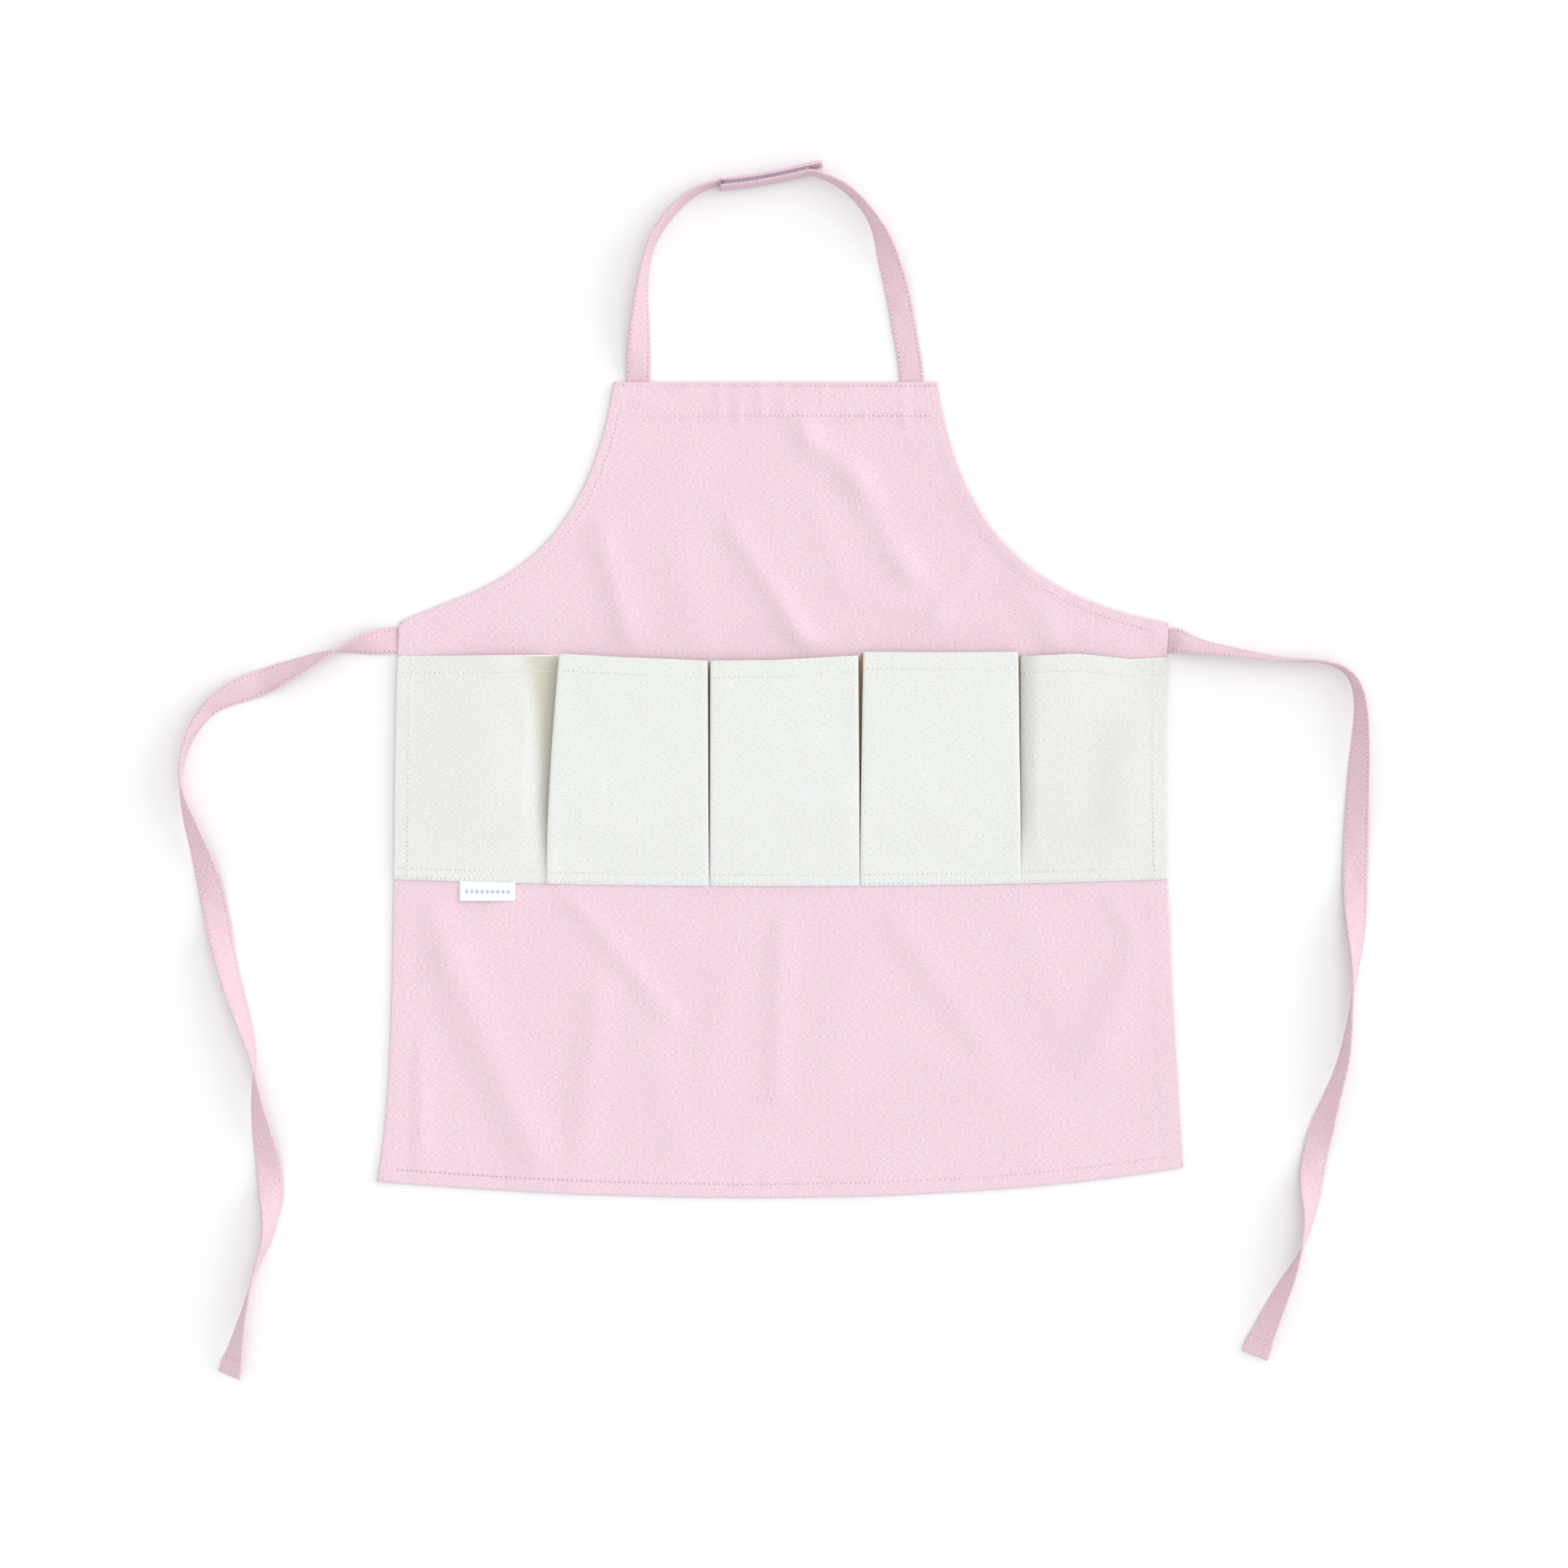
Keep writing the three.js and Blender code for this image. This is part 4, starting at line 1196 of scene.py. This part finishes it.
def pocket_lift(i, u, v):
    """How far a front stands off the panel, at shares of its width and height."""
    rise = POCKET_RISE * smooth(v * (MOUTH_Y - FOOT_Y), 0, RISE_WITHIN) + 0.3 * smooth(v, 0, 0.1)
    if i == 1:
        rise = rise * (0.12 + 0.88 * smooth(u, -0.05, 0.66)) * (1 - smooth(u, 0.79, 0.985))
    if i == 5:
        rise = rise * smooth(u, -0.04, 0.13) * (1 - 0.9 * smooth(u, 0.3, 1)) * 0.9
    sway = 0.35 * np.sin(u * 5.1 + i * 1.7 + 2.2 * v) * np.sin(v * 6.3 + i) * smooth(v, 0.03, 0.25)
    fine = 0.1 * np.sin(u * 17 + 3 * np.sin(v * 7 + i)) * smooth(v, 0.03, 0.2)
    edge = np.minimum(u, 1 - u)
    roundness = 0.35 * np.exp(-(edge / 0.012) ** 2) if i in PLEATED else 0
    over = 0.0
    if i == 2:
        over = 0.8 * (1 - smooth(u, 0, 0.12)) * (1 - smooth(v, 0.2, 0.6))
    if i == 4:
        over = 0.5 * smooth(u, 0.9, 1) * (1 - smooth(v, 0.2, 0.6))
    return rise + sway * smooth(edge, 0, 0.1) + fine * smooth(edge, 0, 0.1) - roundness + over


POCKET_ROW = 10.2  # mouth down to the hem's row of stitches
FOOT_ROWS = (1.5, 7.0)  # bottom seam up to its two rows


def pocket_point(i, u, v, drop=0.0):
    """A place on a front's middle surface; drop measures down from the mouth, in millimetres."""
    u, v, drop = np.broadcast_arrays(np.asarray(u, float), np.asarray(v, float), np.asarray(drop, float))
    lefts, rights = pocket_sides(i, v)
    x = lefts + u * (rights - lefts)
    shares, heights = zip(*MOUTH_LINES[i])
    mouth = MOUTH_Y + np.interp(u, shares, heights)
    foot = foot_line(x)
    y = foot + v * (mouth - foot) - drop
    reached = np.clip((y - foot) / (mouth - foot), 0, 1)
    z = POCKET_BASE + POCKET_CANVAS / 2 + pocket_lift(i, u, reached)
    for place, row in ((mouth - y, POCKET_ROW), (y - foot, FOOT_ROWS[0]), (y - foot, FOOT_ROWS[1])):
        pucker = 0.65 + 0.35 * np.sin(x / 1.9 + 2 * np.sin(x / 11))
        z = z - 0.2 * pucker * np.exp(-((place - row) / 0.9) ** 2)
    return np.stack([x, y, z], -1)


def painted_pleat_shade(i, x, v):
    """Painted shade for each point of a sewn-down front: a warm tan deepest in the valley beside the next
    pocket's edge, and a faint band down a fold, standing in for the shade there.
    """
    if i == 1:
        valley = -143.5 - 3.2 * v - 8.0 * v ** 3
        return 0.03 + 0.65 * smooth(x, valley - 7.0, valley + 5.0)
    band = np.exp(-((x - 194 - 16 * v) / 12) ** 2)
    return 0.07 + 0.16 * band * smooth(v, 0.05, 0.3) * (1 - smooth(v, 0.6, 0.85))


# keeps the painted shade on the front's points, both faces alike
def mark_painted_pleat_shade(front, painted_shade_share):
    painted_shade_share = painted_shade_share.ravel()
    spare = len(front.data.vertices) - 2 * len(painted_shade_share)
    values = np.concatenate([painted_shade_share, painted_shade_share, np.zeros(spare)]).astype(np.float32)
    front.data.attributes.new("pleat", "FLOAT", "POINT").data.foreach_set("value", values)


MOUTH_EDGE = 0.4  # the front's own cloth ends this far below the fold


def add_front(i):
    u = np.linspace(0, 1, 81)[None, :]
    v = np.linspace(0, 1, 130)[:, None]
    middle = pocket_point(i, u + 0 * v, v + 0 * u)
    middle[-1, :, 1] -= MOUTH_EDGE
    front = slab(f"pocket_{i}_front_cloth", middle, POCKET_CANVAS, middle[..., :2], NATURAL)
    # sewn-down fronts get painted shade in their pleat valley and along a fold
    if i not in PLEATED:
        mark_painted_pleat_shade(front, painted_pleat_shade(i, middle[..., 0], v))
    return finish_piece(front, [f"pocket_{i}_front"])


def add_mouth_fold(i):
    s = np.linspace(0.004, 0.996, 56)
    rings, spots = [], []
    for inward, off in turned_section(POCKET_HEM, POCKET_CANVAS, POCKET_HEM_LEG):
        spot = pocket_point(i, s, np.ones_like(s), inward)
        spot[:, 2] += off
        rings.append(spot)
        spots.append(np.column_stack([spot[:, 0], np.full(len(s), MOUTH_Y - inward)]))
    hem = sweep(f"pocket_{i}_mouth_fold", np.stack(rings, 1), np.stack(spots, 1), NATURAL)
    return finish_piece(hem, [f"pocket_{i}_mouth_hem"])


SIDE_ROWS = {1: 8.0 / 95, 5: 1 - 8.0 / 88}  # share of the width at which a sewn-down side's row runs


def mark_pocket_rows(i, key):
    """The mouth hem's row, the two rows along the bottom seam and, on 1 and 5, the row along the side."""
    count = 120
    u = np.linspace(0.012, 0.988, count)
    rows = [pocket_point(i, u, np.ones(count), POCKET_ROW)]
    rows += [pocket_point(i, u, np.zeros(count), -up) for up in FOOT_ROWS]
    if i in SIDE_ROWS:
        rows.append(pocket_point(i, np.full(count, SIDE_ROWS[i]), np.linspace(0.01, 0.99, count)))
    for row in rows:
        row[:, 2] += POCKET_CANVAS / 2 + 0.02
        sew_row(key, row, np.tile([0, 0, 1.0], (count, 1)))


def add_pocket(i):
    front = add_front(i)
    hem = add_mouth_fold(i)
    if i in PLEATED:
        mark_pocket_rows(i, f"pocket_{i}")
        pocket_blend(front)
        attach(hem, f"pocket_{i}")
        for side in (-1, 1):
            add_gusset(i, side)
    else:
        mark_pocket_rows(i, "apron_pockets")
        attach(front, "apron")
        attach(hem, "apron")
    return front, hem


def pocket_blend(piece):
    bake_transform(piece)


def gusset_surface(i, side):
    """A gusset's middle surface and its places on the flat cloth."""
    u = np.linspace(0, 1, 17)[None, :]
    v = np.linspace(0.22, 0.995, 40)[:, None]
    edge = pocket_point(i, np.full_like(v, 0.0 if side < 0 else 1.0), v)
    seam = POCKET_EDGES[i - 1][0] + 0.1 if side < 0 else POCKET_EDGES[i - 1][1] - 0.1
    outer_x = edge[..., 0] * (1 - u) + seam * u - side * 0.25 * (1 - u)
    bend = (1 - np.abs(2 * u - 1)) ** 0.9
    turn = smooth(u, 0.02, 0.98)
    z = (edge[..., 2] - 0.4) * (1 - turn) + (PANEL_HIGH[2] + 0.3) * turn
    middle = np.stack([outer_x - side * GUSSET * bend, edge[..., 1] + 0 * u, z], -1)
    return middle, np.stack([u * 2 * GUSSET + 0 * v, middle[..., 1]], -1)


def add_gusset(i, side):
    """A pleat's inner fold: in from the front's edge and back out to the seam on the panel."""
    middle, spots = gusset_surface(i, side)
    word = "left" if side < 0 else "right"
    # the gusset's canvas carries painted shade
    piece = slab(f"pocket_{i}_gusset_{word}_cloth", middle, GUSSET_CANVAS, spots, GUSSET_SHADE_CANVAS)
    finish_piece(piece, [f"pocket_{i}_gusset_{word}"])
    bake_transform(piece)


pockets = {i: add_pocket(i) for i in range(1, 6)}


# ---- Label ----
def add_label():
    low, high = box_mm("label")
    u = np.linspace(0, 1, 25)[None, :]
    v = np.linspace(0, 1, 13)[:, None]
    x = low[0] + u * (high[0] - low[0]) + 0 * v
    top = foot_line(x) + 0.1
    tilt = 1.6 * (u - 0.4)
    y = top - (1 - v) * (high[1] - low[1] - 0.3 - 0.7 * tilt)
    z = low[2] + 0.3 + 0.5 * (1 - v) ** 2 * (0.3 + np.sin(u * 3.1)) + 0 * x
    middle = np.stack([x, y, z], -1)
    spots = np.stack([x - (low[0] + high[0]) / 2, (v - 0.48) * (high[1] - low[1]) + 0 * x], -1)
    piece = slab("label_ribbon", middle, LABEL_CLOTH, spots, LABEL)
    finish_piece(piece, ["label"])
    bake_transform(piece)


add_label()


# ---- Stitching ----
STITCH_LENGTH = 0.00215  # in metres, as the tree reads them
THREAD = 0.00078
# painted shade: size of the dark dot between each two stitches
NEEDLE_HOLE_SHADE = (0.00095, 0.00085, 0.00045)
SWAY_LOW = (0.0, -0.02, -0.09)  # how far a stitch may lean, in radians
SWAY_HIGH = (0.0, 0.02, 0.09)
START_LENGTH, END_LENGTH = 4, 5  # a trimmed curve's inputs for its two ends
LONGEST_ROW = 10.0


def stitch_sockets(tree):
    face = tree.interface
    face.new_socket("Geometry", in_out="INPUT", socket_type="NodeSocketGeometry")
    for name, value in (("Pitch", STITCH_PITCH * MM), ("Length", STITCH_LENGTH), ("Thread", THREAD)):
        face.new_socket(name, in_out="INPUT", socket_type="NodeSocketFloat").default_value = value
    face.new_socket("Seed", in_out="INPUT", socket_type="NodeSocketInt").default_value = 7
    for name in ("Finish", "Hole Shade Finish"):
        face.new_socket(name, in_out="INPUT", socket_type="NodeSocketMaterial")
    face.new_socket("Geometry", in_out="OUTPUT", socket_type="NodeSocketGeometry")


def seam_turn(tree):
    """The turn that lays a bead along the seam, square to the cloth."""
    tangent = add_node(tree, "GeometryNodeInputTangent")
    up = add_node(tree, "GeometryNodeInputNamedAttribute", {"Name": "up"}, data_type="FLOAT_VECTOR")
    along = wired(tree, "FunctionNodeAlignRotationToVector", {"Vector": tangent.outputs[0]}, axis="X")
    links = {"Rotation": along.outputs[0], "Vector": up.outputs["Attribute"]}
    return wired(tree, "FunctionNodeAlignRotationToVector", links, axis="Z", pivot_axis="X").outputs[0]


def beads(tree, points, bead, turn, finish):
    """A bead at each point, made real and given its finish; also the node that sizes them."""
    links = {"Points": points, "Instance": bead, "Rotation": turn}
    placed = wired(tree, "GeometryNodeInstanceOnPoints", links)
    real = wired(tree, "GeometryNodeRealizeInstances", {0: placed.outputs[0]})
    painted = wired(tree, "GeometryNodeSetMaterial", {"Geometry": real.outputs[0], "Material": finish})
    return painted.outputs[0], placed


def thread_beads(tree, given, seam, bead, turn):
    """A thread bead for each stitch, swaying a little."""
    links = {"Curve": seam, "Length": given["Pitch"]}
    spaced = wired(tree, "GeometryNodeResampleCurve", links, mode="LENGTH")
    sway = wired(tree, "FunctionNodeRandomValue", {"Seed": given["Seed"]}, {0: SWAY_LOW, 1: SWAY_HIGH},
                 data_type="FLOAT_VECTOR")
    lean = wired(tree, "FunctionNodeEulerToRotation", {0: sway.outputs[0]})
    links = {"Rotation": turn, "Rotate By": lean.outputs[0]}
    leaning = wired(tree, "FunctionNodeRotateRotation", links, rotation_space="LOCAL")
    links = {"X": given["Length"], "Y": given["Thread"], "Z": given["Thread"]}
    size = wired(tree, "ShaderNodeCombineXYZ", links)
    threads, placed = beads(tree, spaced.outputs["Curve"], bead, leaning.outputs[0], given["Finish"])
    tree.links.new(size.outputs[0], placed.inputs["Scale"])
    return threads


def needle_hole_shades(tree, given, seam, bead, turn):
    """A dark dot of painted shade between each two stitches, where the needle pierced the cloth."""
    half = wired(tree, "ShaderNodeMath", {0: given["Pitch"]}, {1: 0.5}, operation="MULTIPLY")
    later = wired(tree, "GeometryNodeTrimCurve", {"Curve": seam, START_LENGTH: half.outputs[0]},
                  {END_LENGTH: LONGEST_ROW}, mode="LENGTH")
    links = {"Curve": later.outputs[0], "Length": given["Pitch"]}
    between = wired(tree, "GeometryNodeResampleCurve", links, mode="LENGTH")
    hole_shades, placed = beads(tree, between.outputs["Curve"], bead, turn, given["Hole Shade Finish"])
    placed.inputs["Scale"].default_value = NEEDLE_HOLE_SHADE
    return hole_shades


def stitch_tree():
    """Stitches along every seam line, each row with dark dots of painted shade where the needle pierced
    between stitches.
    """
    tree = bpy.data.node_groups.new("stitch_rows", "GeometryNodeTree")
    stitch_sockets(tree)
    given = add_node(tree, "NodeGroupInput").outputs
    seam = wired(tree, "GeometryNodeMeshToCurve", {0: given["Geometry"]}).outputs[0]
    ball = add_node(tree, "GeometryNodeMeshUVSphere", {"Segments": 6, "Rings": 4, "Radius": 0.5})
    turn = seam_turn(tree)
    both = add_node(tree, "GeometryNodeJoinGeometry")
    for make in (thread_beads, needle_hole_shades):
        tree.links.new(make(tree, given, seam, ball.outputs["Mesh"], turn), both.inputs[0])
    wired(tree, "NodeGroupOutput", {0: both.outputs[0]})
    return tree


STITCHES = stitch_tree()


def socket_name(tree, name):
    return next(s.identifier for s in tree.interface.items_tree if s.name == name and s.in_out == "INPUT")


def seam_path(name, rows):
    """The rows as one mesh of edges, with the way out of the cloth kept at each point."""
    points = np.vstack([p for p, _ in rows]) * MM
    ups = np.vstack([u for _, u in rows]).astype(np.float32)
    edges, first = [], 0
    for p, _ in rows:
        edges += [(first + k, first + k + 1) for k in range(len(p) - 1)]
        first += len(p)
    path = bpy.data.meshes.new(name)
    path.from_pydata(points.tolist(), edges, [])
    path.attributes.new("up", "FLOAT_VECTOR", "POINT").data.foreach_set("vector", ups.ravel())
    return path


def sew(name, key, finish, hole_shade):
    """Turns the rows kept for one body into one mesh of stitches."""
    maker = bpy.data.objects.new(name + "_path", seam_path(name + "_path", seams[key]))
    bpy.context.collection.objects.link(maker)
    modifier = maker.modifiers.new("stitches", "NODES")
    modifier.node_group = STITCHES
    modifier[socket_name(STITCHES, "Pitch")] = STITCH_PITCH * MM
    modifier[socket_name(STITCHES, "Finish")] = finish
    modifier[socket_name(STITCHES, "Hole Shade Finish")] = hole_shade
    graph = bpy.context.evaluated_depsgraph_get()
    mesh = bpy.data.meshes.new_from_object(maker.evaluated_get(graph), depsgraph=graph)
    mesh.name = name
    mesh.polygons.foreach_set("use_smooth", np.ones(len(mesh.polygons), bool))
    bpy.data.objects.remove(maker)
    piece = bpy.data.objects.new(name, mesh)
    bpy.context.collection.objects.link(piece)
    return piece


def pink_stitches(name, key):
    return finish_piece(sew(name, key, PINK_THREAD, PINK_HOLE_SHADE))


def natural_stitches(name, key):
    return finish_piece(sew(name, key, NATURAL_THREAD, NATURAL_HOLE_SHADE))


STITCH_PROUD = {  # how far a row stands off the cloth; rows that sank into it show less
    "bib": 0.06, "bottom": 0.12, "left_side": -0.22, "right_side": -0.22, "left_armhole": -0.04,
    "right_armhole": -0.04,
}


def mark_panel_row(edge, inward):
    """A row of stitches along an edge of the panel, on its front and its back."""
    count = 200
    spot = mitred(edge, inward, count)
    level = level_at(spot)
    front = CANVAS / 2 + STITCH_PROUD[edge]
    back = -(CANVAS / 2 + 0.13 + HEM_LEG)
    for face, off in ((1, front), (-1, back)):
        height = np.maximum(level + off, BACK_STITCH)
        sew_row("apron", np.column_stack([spot, height]), np.tile([0, 0, float(face)], (count, 1)))


for edge, insets in STITCH_INSETS.items():
    for inset in insets:
        mark_panel_row(edge, inset)
apron_stitches = pink_stitches("apron_stitches", "apron")
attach(apron_stitches, "apron")
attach(natural_stitches("patch_pocket_stitches", "apron_pockets"), "apron")
for number in PLEATED:
    pocket_blend(natural_stitches(f"pocket_{number}_stitches", f"pocket_{number}"))
for side in ("left", "right"):
    tie_blend(pink_stitches(f"{side}_tie_stitches", f"{side}_tie"))
    strap_blend(pink_stitches(f"{side}_strap_stitches", f"{side}_strap"))
tab_blend(pink_stitches("tab_stitches", "tab"))


def declare_sheets():
    outline = np.vstack([edge_points(name, 400, 100)[:-1] for name in ORDER])


declare_sheets()


# ---- Floor and light ----
FLOOR_HALF = 4.0
FLOOR_LEVEL = -0.0002
FLOOR_WHITE = 0.805


def add_floor():
    signs = ((-1, -1), (1, -1), (1, 1), (-1, 1))
    corners = [(x * FLOOR_HALF, y * FLOOR_HALF, FLOOR_LEVEL) for x, y in signs]
    mesh = bpy.data.meshes.new("floor")
    mesh.from_pydata(corners, [], [(0, 1, 2, 3)])
    floor = bpy.data.objects.new("floor", mesh)
    finish, _, shader = new_finish("floor_white", 1.0, 0.0)
    shader.inputs["Base Color"].default_value = (FLOOR_WHITE, FLOOR_WHITE, FLOOR_WHITE, 1)
    mesh.materials.append(finish)
    bpy.context.collection.objects.link(floor)


# each light: strength, width in degrees and the way it shines
OVERHEAD = (0.70, 60, (-0.14, -0.06, -1.0))
KEY = (1.55, 50, (-0.93, -0.30, -0.28))
ROOM_STRENGTH = 0.935


def add_sun(name, strength, width, aim):
    data = bpy.data.lights.new(name, "SUN")
    data.energy = strength
    data.angle = math.radians(width)
    lamp = bpy.data.objects.new(name, data)
    lamp.rotation_euler = Vector(aim).to_track_quat("-Z", "Y").to_euler()
    bpy.context.collection.objects.link(lamp)


def add_light():
    """A broad faint light overhead, a stronger one low from the right, and an even room."""
    add_sun("overhead", *OVERHEAD)
    add_sun("key", *KEY)
    world = bpy.data.worlds.new("room")
    world.use_nodes = True
    world.node_tree.nodes["Background"].inputs["Color"].default_value = (1, 1, 1, 1)
    world.node_tree.nodes["Background"].inputs["Strength"].default_value = ROOM_STRENGTH
    bpy.context.scene.world = world
    bpy.context.scene.view_settings.view_transform = "Standard"


add_floor()
add_light()
